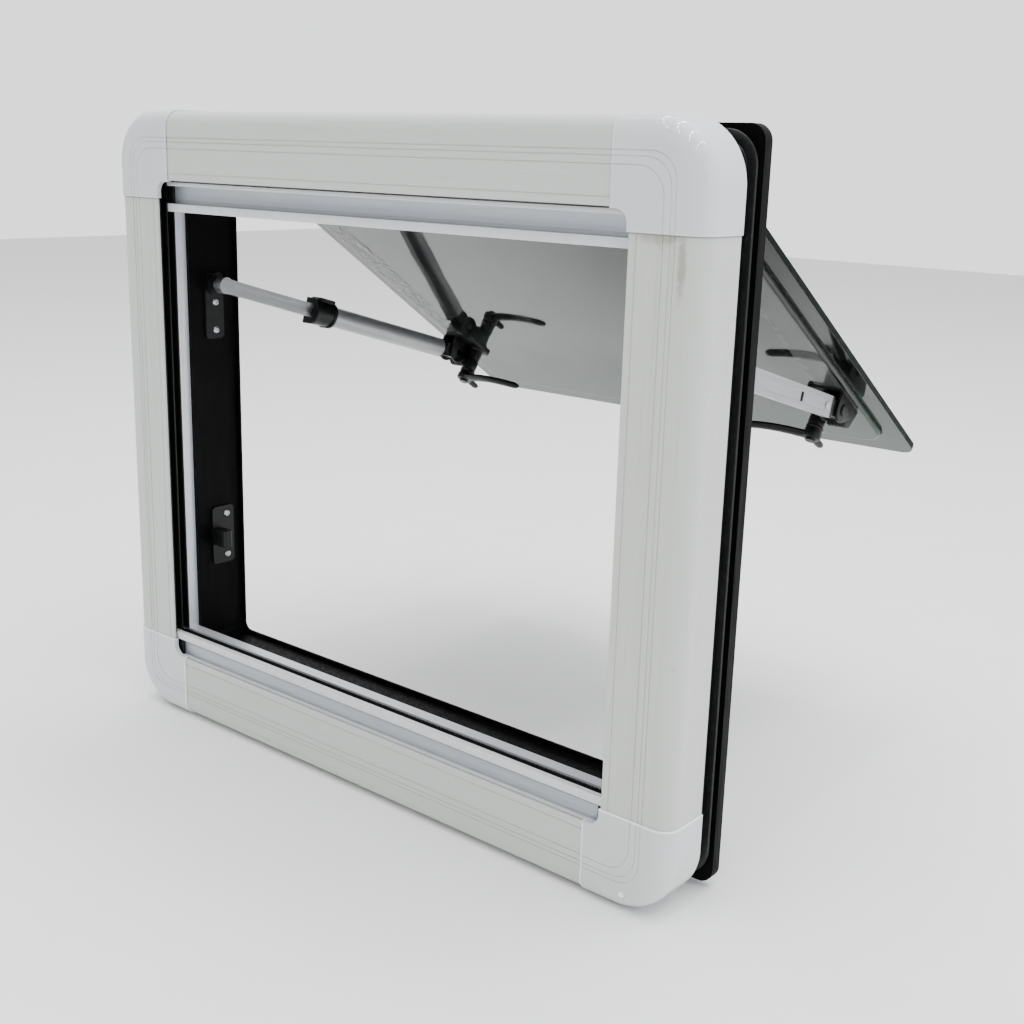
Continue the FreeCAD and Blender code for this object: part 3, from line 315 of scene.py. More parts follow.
@dataclass(frozen=True)
class PaintedRail(Finish):
    """Rolled aluminium sheet, stove-enamelled off-white: satin, with rolling streaks along its
    length, grey dust wiped along it, fine orange peel, a few scuffs, and dust with painted shadow
    in the joints under the covers.

    Attributes:
        run: Direction that the rail runs.
        smudges: Middle and reach of each rubbed grey-brown patch.
    """

    run: Run = Run.UPRIGHT
    smudges: tuple[tuple[Vector, Vector], ...] = ()

    def joint_dust_and_painted_shadow(self, skin: Skin) -> bpy.types.NodeSocket:
        """Finds the joint under a cover's lip: dust, and painted shadow that is darkest under the upper
        covers, as if light came from above.

        Args:
            skin: The material as it is built up.

        Returns:
            How much dust and painted shadow lies there.
        """
        parts = node(skin.tree, "ShaderNodeSeparateXYZ", {"Vector": skin.place}).outputs
        along, lip = (parts[0], COVER_LIP_X) if self.run is Run.ACROSS else (parts[2], COVER_LIP_Z)
        far_out = node(skin.tree, "ShaderNodeMath", {0: along}, operation="ABSOLUTE").outputs[0]
        joint = node(
            skin.tree, "ShaderNodeMapRange",
            {"Value": far_out, "From Min": lip - 1.7 * MM, "From Max": lip - 0.5 * MM},
            interpolation_type="SMOOTHSTEP",
        ).outputs[0]
        # painted shadow: stronger the higher the joint, as if light came from above
        depth = node(
            skin.tree, "ShaderNodeMapRange",
            {"Value": parts[2], "From Min": -0.1, "From Max": 0.1, "To Min": 0.12, "To Max": 0.62},
            interpolation_type="SMOOTHSTEP",
        ).outputs[0]
        return node(skin.tree, "ShaderNodeMath", {0: joint, 1: depth}, operation="MULTIPLY").outputs[0]

    def dress(self, skin: Skin) -> None:
        """Streaks, dust, scuffs, painted shadow in the joints and orange peel.

        Args:
            skin: The material as it is built up.
        """
        tree, place = skin.tree, skin.place
        drawn = node(tree, "ShaderNodeMapping", {"Vector": place, "Scale": self.run.value}).outputs[0]
        # wiped dust in bands of about 14 mm
        band = node(
            tree, "ShaderNodeTexNoise",
            {"Vector": drawn, "Scale": per_metre(14), "Detail": 5.0, "Roughness": 0.65}
        ).outputs[0]
        colour = skin.lay(self.colour, band, "#bdc1bb", (0.42, 0.7), 0.32)
        # rolling streaks about 2.5 mm apart
        streak = node(
            tree, "ShaderNodeTexNoise",
            {"Vector": drawn, "Scale": per_metre(2.5), "Detail": 3.0, "Roughness": 0.6}
        ).outputs[0]
        colour = skin.lay(colour, streak, "#a6a79f", (0.56, 0.74), 0.26)
        # scratches 40 mm long and under a millimetre wide
        hair = node(
            tree, "ShaderNodeTexNoise", {"Vector": drawn, "Scale": per_metre(0.9), "Detail": 1.0}
        ).outputs[0]
        colour = skin.lay(colour, hair, "#96968e", (0.74, 0.8), 0.4)
        # specks of 3 mm
        fleck = node(
            tree, "ShaderNodeTexNoise", {"Vector": place, "Scale": per_metre(3.0), "Detail": 2.0}
        ).outputs[0]
        colour = skin.lay(colour, fleck, "#8d8a80", (0.74, 0.78), 0.7)
        # dust and painted shadow in the joint under each cover's lip
        colour = skin.lay(colour, self.joint_dust_and_painted_shadow(skin), "#55585a")
        if self.smudges:
            # rubbed dirt breaks up in grains from 5 mm down
            grain = node(
                tree, "ShaderNodeTexNoise",
                {"Vector": place, "Scale": per_metre(5.0), "Detail": 9.0, "Roughness": 0.72},
            ).outputs[0]
            for middle, reach in self.smudges:
                colour = skin.lay(colour, skin.blot(middle, reach, grain), "#87836f", (1.3, 0.8), 0.6)
        skin.paint(colour)
        skin.vary("Roughness", band, (0.35, 0.75), (self.roughness - 0.06, self.roughness + 0.16))
        # orange peel of 1.6 mm
        peel = node(
            tree, "ShaderNodeTexNoise", {"Vector": place, "Scale": per_metre(1.6), "Detail": 2.0}
        ).outputs[0]
        skin.emboss(peel, 0.12, 0.08 * MM)


@dataclass(frozen=True)
class MouldedGloss(Finish):
    """Injection-moulded ABS with a polished tool finish: cool white and glossy, faintly wavy from
    shrinkage, with hairline scuffs, a few chips near the corners and a painted highlight along the
    lips over the rails.

    Attributes:
        chips: Middle and reach of each white chip.
        painted_lip_highlight: Whether the piece's thin lips over the rails get a painted highlight, strongest
            where they face up.
    """

    chips: tuple[tuple[Vector, Vector], ...] = ()
    painted_lip_highlight: bool = False

    def lip_painted_highlight(self, skin: Skin) -> bpy.types.NodeSocket:
        """Finds the painted highlight along the lips' edges, which is brightest on the lower covers, as if
        light came from above.

        Args:
            skin: The material as it is built up.

        Returns:
            How strong the painted highlight is.
        """
        tree = skin.tree
        parts = node(tree, "ShaderNodeSeparateXYZ", {"Vector": skin.place}).outputs
        inside = []
        for part, edge in ((parts[0], COVER_LIP_X), (parts[2], COVER_LIP_Z)):
            far_out = node(tree, "ShaderNodeMath", {0: part}, operation="ABSOLUTE").outputs[0]
            beyond = node(tree, "ShaderNodeMath", {0: far_out, 1: edge}, operation="SUBTRACT")
            inside.append(beyond.outputs[0])
        near = node(tree, "ShaderNodeMath", dict(enumerate(inside)), operation="MINIMUM").outputs[0]
        edge = node(
            tree, "ShaderNodeMapRange", {"Value": near, "From Min": 1.3 * MM, "From Max": 0.7 * MM},
            interpolation_type="SMOOTHSTEP",
        ).outputs[0]
        # painted highlight: stronger the lower the lip, as if light came from above
        painted_light_by_height = node(
            tree, "ShaderNodeMapRange",
            {"Value": parts[2], "From Min": 0.1, "From Max": -0.1, "To Min": 0.25, "To Max": 1.0},
            interpolation_type="SMOOTHSTEP",
        ).outputs[0]
        return node(tree, "ShaderNodeMath", {0: edge, 1: painted_light_by_height}, operation="MULTIPLY").outputs[0]

    def dress(self, skin: Skin) -> None:
        """Shrinkage waves, hairlines, chips and the painted highlight on the lips.

        Args:
            skin: The material as it is built up.
        """
        tree, place = skin.tree, skin.place
        # flow marks of 30 mm
        flow = node(
            tree, "ShaderNodeTexNoise", {"Vector": place, "Scale": per_metre(30), "Detail": 3.0}
        ).outputs[0]
        colour = skin.lay(self.colour, flow, "#d2d6d7", (0.35, 0.7), 0.6)
        # hairlines 22 mm long, in patches of 26 mm
        hair = node(
            tree, "ShaderNodeTexVoronoi",
            {"Vector": place, "Scale": per_metre(22)}, feature="DISTANCE_TO_EDGE"
        ).outputs[0]
        patch = node(
            tree, "ShaderNodeTexNoise", {"Vector": place, "Scale": per_metre(26), "Detail": 2.0}
        ).outputs[0]
        gate = node(
            tree, "ShaderNodeMapRange", {"Value": patch, "From Min": 0.56, "From Max": 0.62},
            interpolation_type="SMOOTHSTEP",
        ).outputs[0]
        thin = node(
            tree, "ShaderNodeMapRange", {"Value": hair, "From Min": 0.006, "From Max": 0.0},
            interpolation_type="SMOOTHSTEP",
        ).outputs[0]
        line = node(tree, "ShaderNodeMath", {0: gate, 1: thin}, operation="MULTIPLY").outputs[0]
        colour = skin.lay(colour, line, "#c6c9c8")
        # specks of 4 mm
        fleck = node(
            tree, "ShaderNodeTexNoise",
            {"Vector": place, "Scale": per_metre(4.0), "Detail": 3.0, "Roughness": 0.6}
        ).outputs[0]
        colour = skin.lay(colour, fleck, "#b9bab6", (0.75, 0.78), 0.5)
        for middle, reach in self.chips:
            chip = skin.blot(middle, reach, fleck)
            colour = skin.lay(colour, chip, "#a4a59f", (1.3, 1.2), 0.7)
            colour = skin.lay(colour, chip, "#ffffff", (1.18, 1.1))
        if self.painted_lip_highlight:
            # painted highlight along the lips' edges
            colour = skin.lay(colour, self.lip_painted_highlight(skin), "#fbfcfd")
        skin.paint(colour)
        skin.vary("Roughness", patch, (0.3, 0.7), (self.roughness - 0.04, self.roughness + 0.08))
        # shrinkage waves of 18 mm, a few microns deep
        wave = node(
            tree, "ShaderNodeTexNoise", {"Vector": place, "Scale": per_metre(18), "Detail": 1.0}
        ).outputs[0]
        skin.emboss(wave, 0.35, 0.4 * MM)


@dataclass(frozen=True)
class DrawnMetal(Finish):
    """Extruded or drawn aluminium, anodised: fine die lines along its length and soft tone bands.

    Attributes:
        run: Direction of the die lines.
        shade: sRGB hex of the darker die lines.
        turned: Turn of the pattern about X, for a piece that lies aslant.
    """

    run: Run = Run.ACROSS
    shade: str = "#8d9196"
    turned: float = 0.0

    def dress(self, skin: Skin) -> None:
        """Die lines and tone bands.

        Args:
            skin: The material as it is built up.
        """
        tree = skin.tree
        level = node(
            tree, "ShaderNodeMapping", {"Vector": skin.place, "Rotation": (self.turned, 0.0, 0.0)}
        ).outputs[0]
        drawn = node(tree, "ShaderNodeMapping", {"Vector": level, "Scale": self.run.value}).outputs[0]
        # die lines about 0.5 mm apart, drawn coarser than the real 0.1 mm so that they show
        fine = node(
            tree, "ShaderNodeTexNoise",
            {"Vector": drawn, "Scale": per_metre(0.5), "Detail": 2.0, "Roughness": 0.5}
        ).outputs[0]
        # tone bands of 5 mm
        broad = node(
            tree, "ShaderNodeTexNoise",
            {"Vector": drawn, "Scale": per_metre(5.0), "Detail": 3.0, "Roughness": 0.6}
        ).outputs[0]
        colour = skin.lay(self.colour, fine, self.shade, (0.45, 0.75), 0.4)
        skin.paint(skin.lay(colour, broad, self.shade, (0.45, 0.75), 0.45))
        skin.vary("Roughness", fine, (0.3, 0.7), (self.roughness - 0.05, self.roughness + 0.08))
        skin.emboss(fine, 0.15, 0.03 * MM)


@dataclass(frozen=True)
class BlackCoat(Finish):
    """Powder-coated black aluminium: dull with a fine texture, grey dust and long rubs."""

    def dress(self, skin: Skin) -> None:
        """Dust, rubs and powder texture.

        Args:
            skin: The material as it is built up.
        """
        tree, place = skin.tree, skin.place
        # upright rubs 3.5 mm wide
        drawn = node(tree, "ShaderNodeMapping", {"Vector": place, "Scale": (1.0, 1.0, 0.06)}).outputs[0]
        rub = node(
            tree, "ShaderNodeTexNoise",
            {"Vector": drawn, "Scale": per_metre(3.5), "Detail": 3.0, "Roughness": 0.6}
        ).outputs[0]
        colour = skin.lay(self.colour, rub, "#141517", (0.55, 0.8), 0.5)
        # dust in specks of about 2 mm
        dust = node(
            tree, "ShaderNodeTexNoise",
            {"Vector": place, "Scale": per_metre(2.2), "Detail": 4.0, "Roughness": 0.7}
        ).outputs[0]
        skin.paint(skin.lay(colour, dust, "#3c3d40", (0.68, 0.8), 0.3))
        skin.vary("Roughness", rub, (0.35, 0.7), (self.roughness - 0.05, self.roughness + 0.15))
        # powder texture of 0.8 mm
        grit = node(
            tree, "ShaderNodeTexNoise", {"Vector": place, "Scale": per_metre(0.8), "Detail": 2.0}
        ).outputs[0]
        skin.emboss(grit, 0.25, 0.06 * MM)


@dataclass(frozen=True)
class SparkMoulded(Finish):
    """Glass-filled nylon moulded in a spark-eroded tool: dull black with a pebbled skin.

    Attributes:
        pale: sRGB hex of rubbed spots.
        grain: Pebble size in millimetres.
    """

    pale: str = "#303235"
    grain: float = 0.7

    def dress(self, skin: Skin) -> None:
        """Pebbled skin and rubbed spots.

        Args:
            skin: The material as it is built up.
        """
        tree, place = skin.tree, skin.place
        # rubbed spots of 7 mm
        worn = node(
            tree, "ShaderNodeTexNoise",
            {"Vector": place, "Scale": per_metre(7), "Detail": 4.0, "Roughness": 0.65}
        ).outputs[0]
        skin.paint(skin.lay(self.colour, worn, self.pale, (0.5, 0.75), 0.6))
        skin.vary("Roughness", worn, (0.35, 0.7), (self.roughness - 0.08, self.roughness + 0.1))
        pebble = node(
            tree, "ShaderNodeTexVoronoi", {"Vector": place, "Scale": per_metre(self.grain)}
        ).outputs[0]
        skin.emboss(pebble, 0.3, 0.08 * MM)


@dataclass(frozen=True)
class SmokedAcrylic(Finish):
    """Cast acrylic, tinted smoke grey: clear, with a painted green reflection of the floor towards
    the bottom edge, faint cast waves and wipe marks.

    Attributes:
        painted_floor_reflection: sRGB hex of the painted reflection of the floor near the bottom edge.
    """

    painted_floor_reflection: str = "#455f52"

    def dress(self, skin: Skin) -> None:
        """Painted green reflection and wipe marks, drawn as on the closed sash.

        Args:
            skin: The material as it is built up.
        """
        tree = skin.tree
        shut = skin.closed_place()
        height = node(tree, "ShaderNodeSeparateXYZ", {"Vector": shut}).outputs[2]
        # the painted green reflection of the floor starts along a wavy line, in waves of 140 mm
        cloud = node(
            tree, "ShaderNodeTexNoise",
            {"Vector": shut, "Scale": per_metre(140), "Detail": 3.0, "Roughness": 0.55, "Distortion": 0.6},
        ).outputs[0]
        edge = node(tree, "ShaderNodeMath", {0: cloud, 1: 0.22}, operation="MULTIPLY").outputs[0]
        wavy = node(tree, "ShaderNodeMath", {0: height, 1: edge}, operation="SUBTRACT").outputs[0]
        low = node(
            tree, "ShaderNodeMapRange", {"Value": wavy, "From Min": -0.15, "From Max": -0.3},
            interpolation_type="SMOOTHSTEP",
        ).outputs[0]
        # painted reflection of the green floor near the bottom edge
        colour = skin.lay(self.colour, low, self.painted_floor_reflection)
        # wipe marks 9 mm wide, slanting
        wiped = node(
            tree, "ShaderNodeMapping",
            {"Vector": shut, "Rotation": (0.0, 0.6, 0.0), "Scale": (1.0, 1.0, 0.06)}
        ).outputs[0]
        wipe = node(
            tree, "ShaderNodeTexNoise",
            {"Vector": wiped, "Scale": per_metre(9), "Detail": 4.0, "Roughness": 0.6}
        ).outputs[0]
        skin.paint(skin.lay(colour, wipe, "#b4b8b6", (0.6, 0.8), 0.25))
        skin.vary("Roughness", wipe, (0.45, 0.8), (self.roughness, self.roughness + 0.12))
        # less transmission where the painted green reflection lies, so that its colour shows
        skin.vary("Transmission Weight", low, (0.0, 1.0), (1.0, 0.72))
        # casting waves of 60 mm
        wave = node(
            tree, "ShaderNodeTexNoise", {"Vector": shut, "Scale": per_metre(60), "Detail": 1.0}
        ).outputs[0]
        skin.emboss(wave, 0.3, 0.6 * MM)


@dataclass(frozen=True)
class CreasedFilm(Finish):
    """Clear polyethylene film, stuck down badly: milky, with bright creases.

    Attributes:
        clear: How much shows through where the film lies flat.
        crease_cover: How much a crease hides.
    """

    clear: float = 0.9
    crease_cover: float = 0.5

    def dress(self, skin: Skin) -> None:
        """Creases that are whiter and less clear than the flat film.

        Args:
            skin: The material as it is built up.
        """
        tree = skin.tree
        slant = node(
            tree, "ShaderNodeMapping",
            {"Vector": skin.closed_place(), "Rotation": (0.0, 0.5, 0.0), "Scale": (1.0, 1.0, 0.4)},
        ).outputs[0]
        # creases about 12 mm apart, along the middle value of the noise
        crumple = node(
            tree, "ShaderNodeTexNoise",
            {"Vector": slant, "Scale": per_metre(12), "Detail": 5.0, "Roughness": 0.6, "Distortion": 1.2},
        ).outputs[0]
        ridge = node(tree, "ShaderNodeMath", {0: crumple, 1: 0.5}, operation="SUBTRACT").outputs[0]
        fold = node(tree, "ShaderNodeMath", {0: ridge}, operation="ABSOLUTE").outputs[0]
        bright = node(
            tree, "ShaderNodeMapRange", {"Value": fold, "From Min": 0.035, "From Max": 0.0},
            interpolation_type="SMOOTHSTEP",
        ).outputs[0]
        skin.vary("Alpha", bright, (0.0, 1.0), (1.0 - self.clear, self.crease_cover))
        skin.emboss(bright, 0.6, 1.0 * MM)


@dataclass(frozen=True)
class ExtrudedRubber(Finish):
    """Extruded EPDM: dark grey, satin, with a fine skin and pale dust."""

    def dress(self, skin: Skin) -> None:
        """Dust and a fine bloom.

        Args:
            skin: The material as it is built up.
        """
        tree, place = skin.tree, skin.place
        # bloom in clouds of 6 mm
        bloom = node(
            tree, "ShaderNodeTexNoise",
            {"Vector": place, "Scale": per_metre(6), "Detail": 4.0, "Roughness": 0.65}
        ).outputs[0]
        skin.paint(skin.lay(self.colour, bloom, "#3c3d40", (0.5, 0.78), 0.5))
        # skin of 0.9 mm grains
        fine = node(
            tree, "ShaderNodeTexNoise", {"Vector": place, "Scale": per_metre(0.9), "Detail": 2.0}
        ).outputs[0]
        skin.vary("Roughness", fine, (0.3, 0.7), (self.roughness - 0.05, self.roughness + 0.1))
        skin.emboss(fine, 0.2, 0.1 * MM)


@dataclass(frozen=True)
class WovenCloth(Finish):
    """Woven cloth on its own UV map, whose unit is a metre of cloth with the blind drawn out.

    Attributes:
        pitch_mm: Spacing of the threads; coarser than the real ones so that they show.
        open_mesh: Whether the gaps between the threads are holes.
        shade: sRGB hex between the threads.
    """

    pitch_mm: float = 1.2
    open_mesh: bool = False
    shade: str = "#8b8d90"

    def dress(self, skin: Skin) -> None:
        """Threads both ways, from two sine waves on the cloth's own map.

        Args:
            skin: The material as it is built up.
        """
        tree = skin.tree
        cloth = node(tree, "ShaderNodeUVMap", uv_map="Cloth").outputs[0]
        axes = node(tree, "ShaderNodeSeparateXYZ", {"Vector": cloth})
        threads = []
        for axis in (0, 1):
            turns = node(
                tree, "ShaderNodeMath", {0: axes.outputs[axis], 1: math.tau * per_metre(self.pitch_mm)},
                operation="MULTIPLY",
            ).outputs[0]
            wave = node(tree, "ShaderNodeMath", {0: turns}, operation="SINE").outputs[0]
            threads.append(node(
                tree, "ShaderNodeMapRange", {"Value": wave, "From Min": -0.2, "From Max": 0.9},
                interpolation_type="SMOOTHSTEP",
            ).outputs[0])
        weave = node(tree, "ShaderNodeMath", dict(enumerate(threads)), operation="MAXIMUM").outputs[0]
        skin.paint(skin.lay(self.colour, weave, self.shade, (1.0, 0.0)))
        if self.open_mesh:
            tree.links.new(weave, skin.shader.inputs["Alpha"])
        skin.shader.inputs["Sheen Weight"].default_value = 0.25
        skin.emboss(weave, 0.5, 0.2 * MM)


@dataclass(frozen=True)
class PlainFloor(Finish):
    """Matt pale studio paper with a barely visible mottle."""

    def dress(self, skin: Skin) -> None:
        """Mottle of 60 mm.

        Args:
            skin: The material as it is built up.
        """
        mottle = node(
            skin.tree, "ShaderNodeTexNoise", {"Vector": skin.place, "Scale": per_metre(60), "Detail": 2.0}
        ).outputs[0]
        skin.paint(skin.lay(self.colour, mottle, "#f4f4f3", (0.3, 0.7), 0.3))


# Middle and half sizes of each blot, in metres.
CHIPS = (
    (Vector((0.272, RAIL_FACE_Y, -0.2631)), Vector((0.0042, 0.02, 0.0036))),
    (Vector((0.3, -0.029, -0.2688)), Vector((0.01, 0.009, 0.004))),
)
SMUDGES = (
    (Vector((0.2915, RAIL_FACE_Y, 0.184)), Vector((0.0055, 0.02, 0.034))),
    (Vector((0.275, RAIL_FACE_Y, 0.207)), Vector((0.032, 0.02, 0.017))),
)

RAIL_ACROSS = PaintedRail("stove_enamelled_aluminium_across", "#c6cbc6", 0.34, run=Run.ACROSS)
RAIL_UPRIGHT = PaintedRail("stove_enamelled_aluminium_upright", "#c6cbc6", 0.34)
RAIL_WORN = PaintedRail("stove_enamelled_aluminium_worn", "#c5c9c3", 0.35, smudges=SMUDGES)
COVER = MouldedGloss("polished_moulded_ABS", "#d2d8da", 0.1, specular=0.6, painted_lip_highlight=True)
# same moulding as COVER: the chips are wear, and the darker, greener colour is painted shade on the lower
# cover
COVER_CHIPPED_SHADED = MouldedGloss("polished_moulded_ABS_chipped_painted_shade", "#ccd2d1", 0.12, specular=0.6, chips=CHIPS,
                             painted_lip_highlight=True)
BAR_WHITE = MouldedGloss("stove_enamelled_aluminium_bar", "#d6d9da", 0.28)
BAR_INLAY = DrawnMetal("anodised_aluminium_inlay", "#a9afb6", 0.34, 0.65, shade="#949aa2")
STRIP = DrawnMetal("anodised_aluminium_strip", "#dfe3e8", 0.38, 0.45, shade="#b9c0c8")
STRIP_UPRIGHT = DrawnMetal("anodised_aluminium_strip_upright", "#dfe3e8", 0.38, 0.45, run=Run.UPRIGHT,
                           shade="#b9c0c8")
FRAME_BLACK = BlackCoat("powder_coated_aluminium_black", "#030304", 0.5, specular=0.07)
NYLON = SparkMoulded("glass_filled_nylon_black", "#08090a", 0.42, specular=0.28, pale="#1c1d1f")
RUBBER = ExtrudedRubber("extruded_EPDM_rubber", "#0e0f10", 0.38)
PILE = SparkMoulded("polypropylene_pile", "#121315", 0.85, pale="#2a2b2d", grain=0.5, specular=0.2)
# Its specular level is kept far below real acrylic's, so that it doesn't mirror the pale stage.
ACRYLIC = SmokedAcrylic("cast_acrylic_smoked", "#5c5f5d", 0.02, ior=1.49, specular=0.03)
BOND = SparkMoulded("acrylic_bond_line", "#6d7370", 0.4, pale="#8a8f8c", grain=2.0)
FILM = CreasedFilm("creased_polyethylene_film", "#a9aca9", 0.35)
FILM_FLAT = CreasedFilm("laid_polyethylene_film", "#a2a5a2", 0.5, clear=0.82, crease_cover=0.26)
GREEN_EDGE = SparkMoulded("polished_acrylic_edge", "#050a08", 0.5, pale="#0d1c15", grain=3.0, specular=0.06)
SEAM_BLACK = ExtrudedRubber("moulded_seam_black", "#0b0c0d", 0.8, specular=0.15)
STEEL = DrawnMetal("zinc_plated_steel", "#c3c5c8", 0.3, 1.0, shade="#8e9094")
ROLLER = DrawnMetal("drawn_aluminium_tube", "#c2c5c8", 0.35, 1.0)
BLACKOUT = WovenCloth("coated_polyester_blackout", "#c9cbcc", 0.7)
INSECT = WovenCloth("glass_fibre_insect_mesh", "#2c2e30", 0.6, pitch_mm=1.6, open_mesh=True, shade="#17181a")
FLOOR = PlainFloor("matt_studio_paper", "#fafaf9", 0.9)


# ---------------------------------------------------------------- mesh helpers


def slab(bm: bmesh.types.BMesh, low: Sequence[float], high: Sequence[float]) -> list[bmesh.types.BMVert]:
    """Adds a block between two corners.

    Args:
        bm: Mesh that takes it.
        low: Lowest corner.
        high: Highest corner.

    Returns:
        Its vertices.
    """
    size = Vector(high) - Vector(low)
    middle = (Vector(high) + Vector(low)) / 2
    place = Matrix.Translation(middle) @ Matrix.Diagonal((*size, 1.0))
    return bmesh.ops.create_cube(bm, size=1.0, matrix=place)["verts"]


def edges_of(verts: Iterable[bmesh.types.BMVert]) -> list[bmesh.types.BMEdge]:
    """Returns every edge between the given vertices."""
    inside = set(verts)
    return list({e for v in inside for e in v.link_edges if e.other_vert(v) in inside})


def soften(bm: bmesh.types.BMesh, edges: Iterable[bmesh.types.BMEdge], width: float, steps: int = 2) -> None:
    """Rounds edges by a small bevel.

    Args:
        bm: Mesh that holds them.
        edges: Edges to round.
        width: Width of the bevel.
        steps: Faces across it.
    """
    bmesh.ops.bevel(
        bm, geom=list(edges), offset=width, offset_type="OFFSET", affect="EDGES",
        segments=steps, profile=0.5, material=-1, clamp_overlap=True,
    )


def sharp_edges(verts: Iterable[bmesh.types.BMVert], degrees: float = 30) -> list[bmesh.types.BMEdge]:
    """Returns the edges between two faces that meet at more than an angle."""
    return [e for e in edges_of(verts) if e.is_manifold and e.calc_face_angle(0.0) > math.radians(degrees)]


def prism(
    bm: bmesh.types.BMesh, outline: Sequence[Sequence[float]], reach: Sequence[float]
) -> list[bmesh.types.BMVert]:
    """Extrudes a flat outline of a few points.

    Args:
        bm: Mesh that takes it.
        outline: Points of the outline, in order.
        reach: Vector of the extrusion.

    Returns:
        Its vertices.
    """
    corners = [bm.verts.new(p) for p in outline]
    face = bm.faces.new(corners)
    made = bmesh.ops.extrude_face_region(bm, geom=[face])["geom"]
    moved = [g for g in made if isinstance(g, bmesh.types.BMVert)]
    bmesh.ops.translate(bm, vec=Vector(reach), verts=moved)
    return corners + moved


def turned_profile(
    bm: bmesh.types.BMesh, profile: Sequence[tuple[float, float]], place: Matrix, steps: int = 32
) -> None:
    """Turns a profile of (radius, height) points into a closed round piece.

    Args:
        bm: Mesh that takes it.
        profile: Points from the axis at one end to the axis at the other.
        place: Puts the piece's own Z axis where it belongs.
        steps: Faces round it.
    """
    line = [bm.verts.new(place @ Vector((radius, 0.0, height))) for radius, height in profile]
    edges = [bm.edges.new(pair) for pair in zip(line, line[1:])]
    axis = place.to_3x3() @ Vector((0, 0, 1))
    bmesh.ops.spin(
        bm, geom=line + edges, cent=place.translation, axis=axis, angle=math.tau,
        steps=steps, use_merge=True, use_duplicate=False,
    )


def swept_ring(
    bm: bmesh.types.BMesh,
    profile: Sequence[tuple[float, float]],
    half_w: float,
    low: float,
    high: float,
    corner: float,
    steps: int = 10,
) -> None:
    """Sweeps a closed profile round an upright rounded rectangle.

    Args:
        bm: Mesh that takes it.
        profile: Points as (outward from the path, Y).
        half_w: Path's half width.
        low: Path's lowest Z.
        high: Path's highest Z.
        corner: Radius of the path's corners.
        steps: Faces round a corner.
    """
    line = [bm.verts.new((0.0, y, high + out)) for out, y in profile]
    edges = [bm.edges.new(pair) for pair in zip(line, line[1:] + line[:1])]
    straight_w, straight_h = half_w - corner, (high - low) / 2 - corner
    centre_z = (low + high) / 2
    for quarter in range(4):
        along = Matrix.Rotation(math.pi / 2 * quarter, 3, "Y") @ Vector((1, 0, 0))
        legs = (straight_w, straight_h) if quarter % 2 == 0 else (straight_h, straight_w)
        edges = pushed(bm, edges, along * legs[0])
        pivot = Vector((straight_w * (1, 1, -1, -1)[quarter], 0.0,
                        centre_z + straight_h * (1, -1, -1, 1)[quarter]))
        turned = bmesh.ops.spin(bm, geom=edges, cent=pivot, axis=(0, 1, 0), angle=math.pi / 2, steps=steps,
                                use_merge=False, use_duplicate=False)["geom_last"]
        edges = [g for g in turned if isinstance(g, bmesh.types.BMEdge)]
        onward = Matrix.Rotation(math.pi / 2, 3, "Y") @ along
        edges = pushed(bm, edges, onward * legs[1])
    bmesh.ops.remove_doubles(bm, verts=bm.verts, dist=0.00001)


def pushed(
    bm: bmesh.types.BMesh, edges: list[bmesh.types.BMEdge], reach: Vector
) -> list[bmesh.types.BMEdge]:
    """Extrudes edges along a vector and returns the new far edges.

    Args:
        bm: Mesh that holds them.
        edges: Edges to extrude.
        reach: Vector of the extrusion.

    Returns:
        The new far edges.
    """
    made = bmesh.ops.extrude_edge_only(bm, edges=edges)["geom"]
    bmesh.ops.translate(bm, vec=reach, verts=[g for g in made if isinstance(g, bmesh.types.BMVert)])
    far = {g for g in made if isinstance(g, bmesh.types.BMVert)}
    return [g for g in made if isinstance(g, bmesh.types.BMEdge) and set(g.verts) <= far]


def lofted(bm: bmesh.types.BMesh, sections: Sequence[Matrix], steps: int = 12) -> None:
    """Carries a unit circle through a row of placed and scaled sections, and closes both ends.

    Args:
        bm: Mesh that takes it.
        sections: Placement of each section; its XY plane holds the circle.
        steps: Faces round it.
    """
    ring = bmesh.ops.create_circle(bm, segments=steps, radius=1.0, matrix=sections[0])["verts"]
    edges = edges_of(ring)
    ends = [edges]
    for before, after in zip(sections, sections[1:]):
        edges = pushed(bm, edges, Vector((0, 0, 0)))
        verts = list({v for e in edges for v in e.verts})
        bmesh.ops.transform(bm, matrix=after @ before.inverted(), verts=verts)
    ends.append(edges)
    for rim in ends:
        bmesh.ops.contextual_create(bm, geom=rim)


def piece(
    bm: bmesh.types.BMesh,
    name: str,
    finishes: Sequence[Finish],
    body: str | None,
    place: Matrix | None = None,
    crease: float = 35.0,
    repair: bool = True,
) -> bpy.types.Object:
    """Turns a finished bmesh into a piece that rides on a body.

    Args:
        bm: The mesh; it is freed.
        name: Name of the piece.
        finishes: Finishes by material index.
        place: Last transform of its mesh.
        crease: Angle in degrees above which an edge stays sharp.
        repair: Whether doubles are merged and the normals made to point outwards.

    Returns:
        The piece.
    """
    if repair:
        bmesh.ops.remove_doubles(bm, verts=bm.verts, dist=0.000002)
        bmesh.ops.recalc_face_normals(bm, faces=bm.faces)
    if place is not None:
        bmesh.ops.transform(bm, matrix=place, verts=bm.verts)
    for face in bm.faces:
        face.smooth = True
    for edge in bm.edges:
        edge.smooth = edge.calc_face_angle(0.0) < math.radians(crease)
    mesh = bpy.data.meshes.new(name)
    bm.to_mesh(mesh)
    bm.free()
    for finish in finishes:
        mesh.materials.append(finish.material())
    made = bpy.data.objects.new(name, mesh)
    bpy.context.scene.collection.objects.link(made)
    if body is not None:
        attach(made, body)
    LOG.info("%s rides on %s, %d faces", name, body or "two bodies", len(mesh.polygons))
    return made


# ---------------------------------------------------------------- sub-assemblies


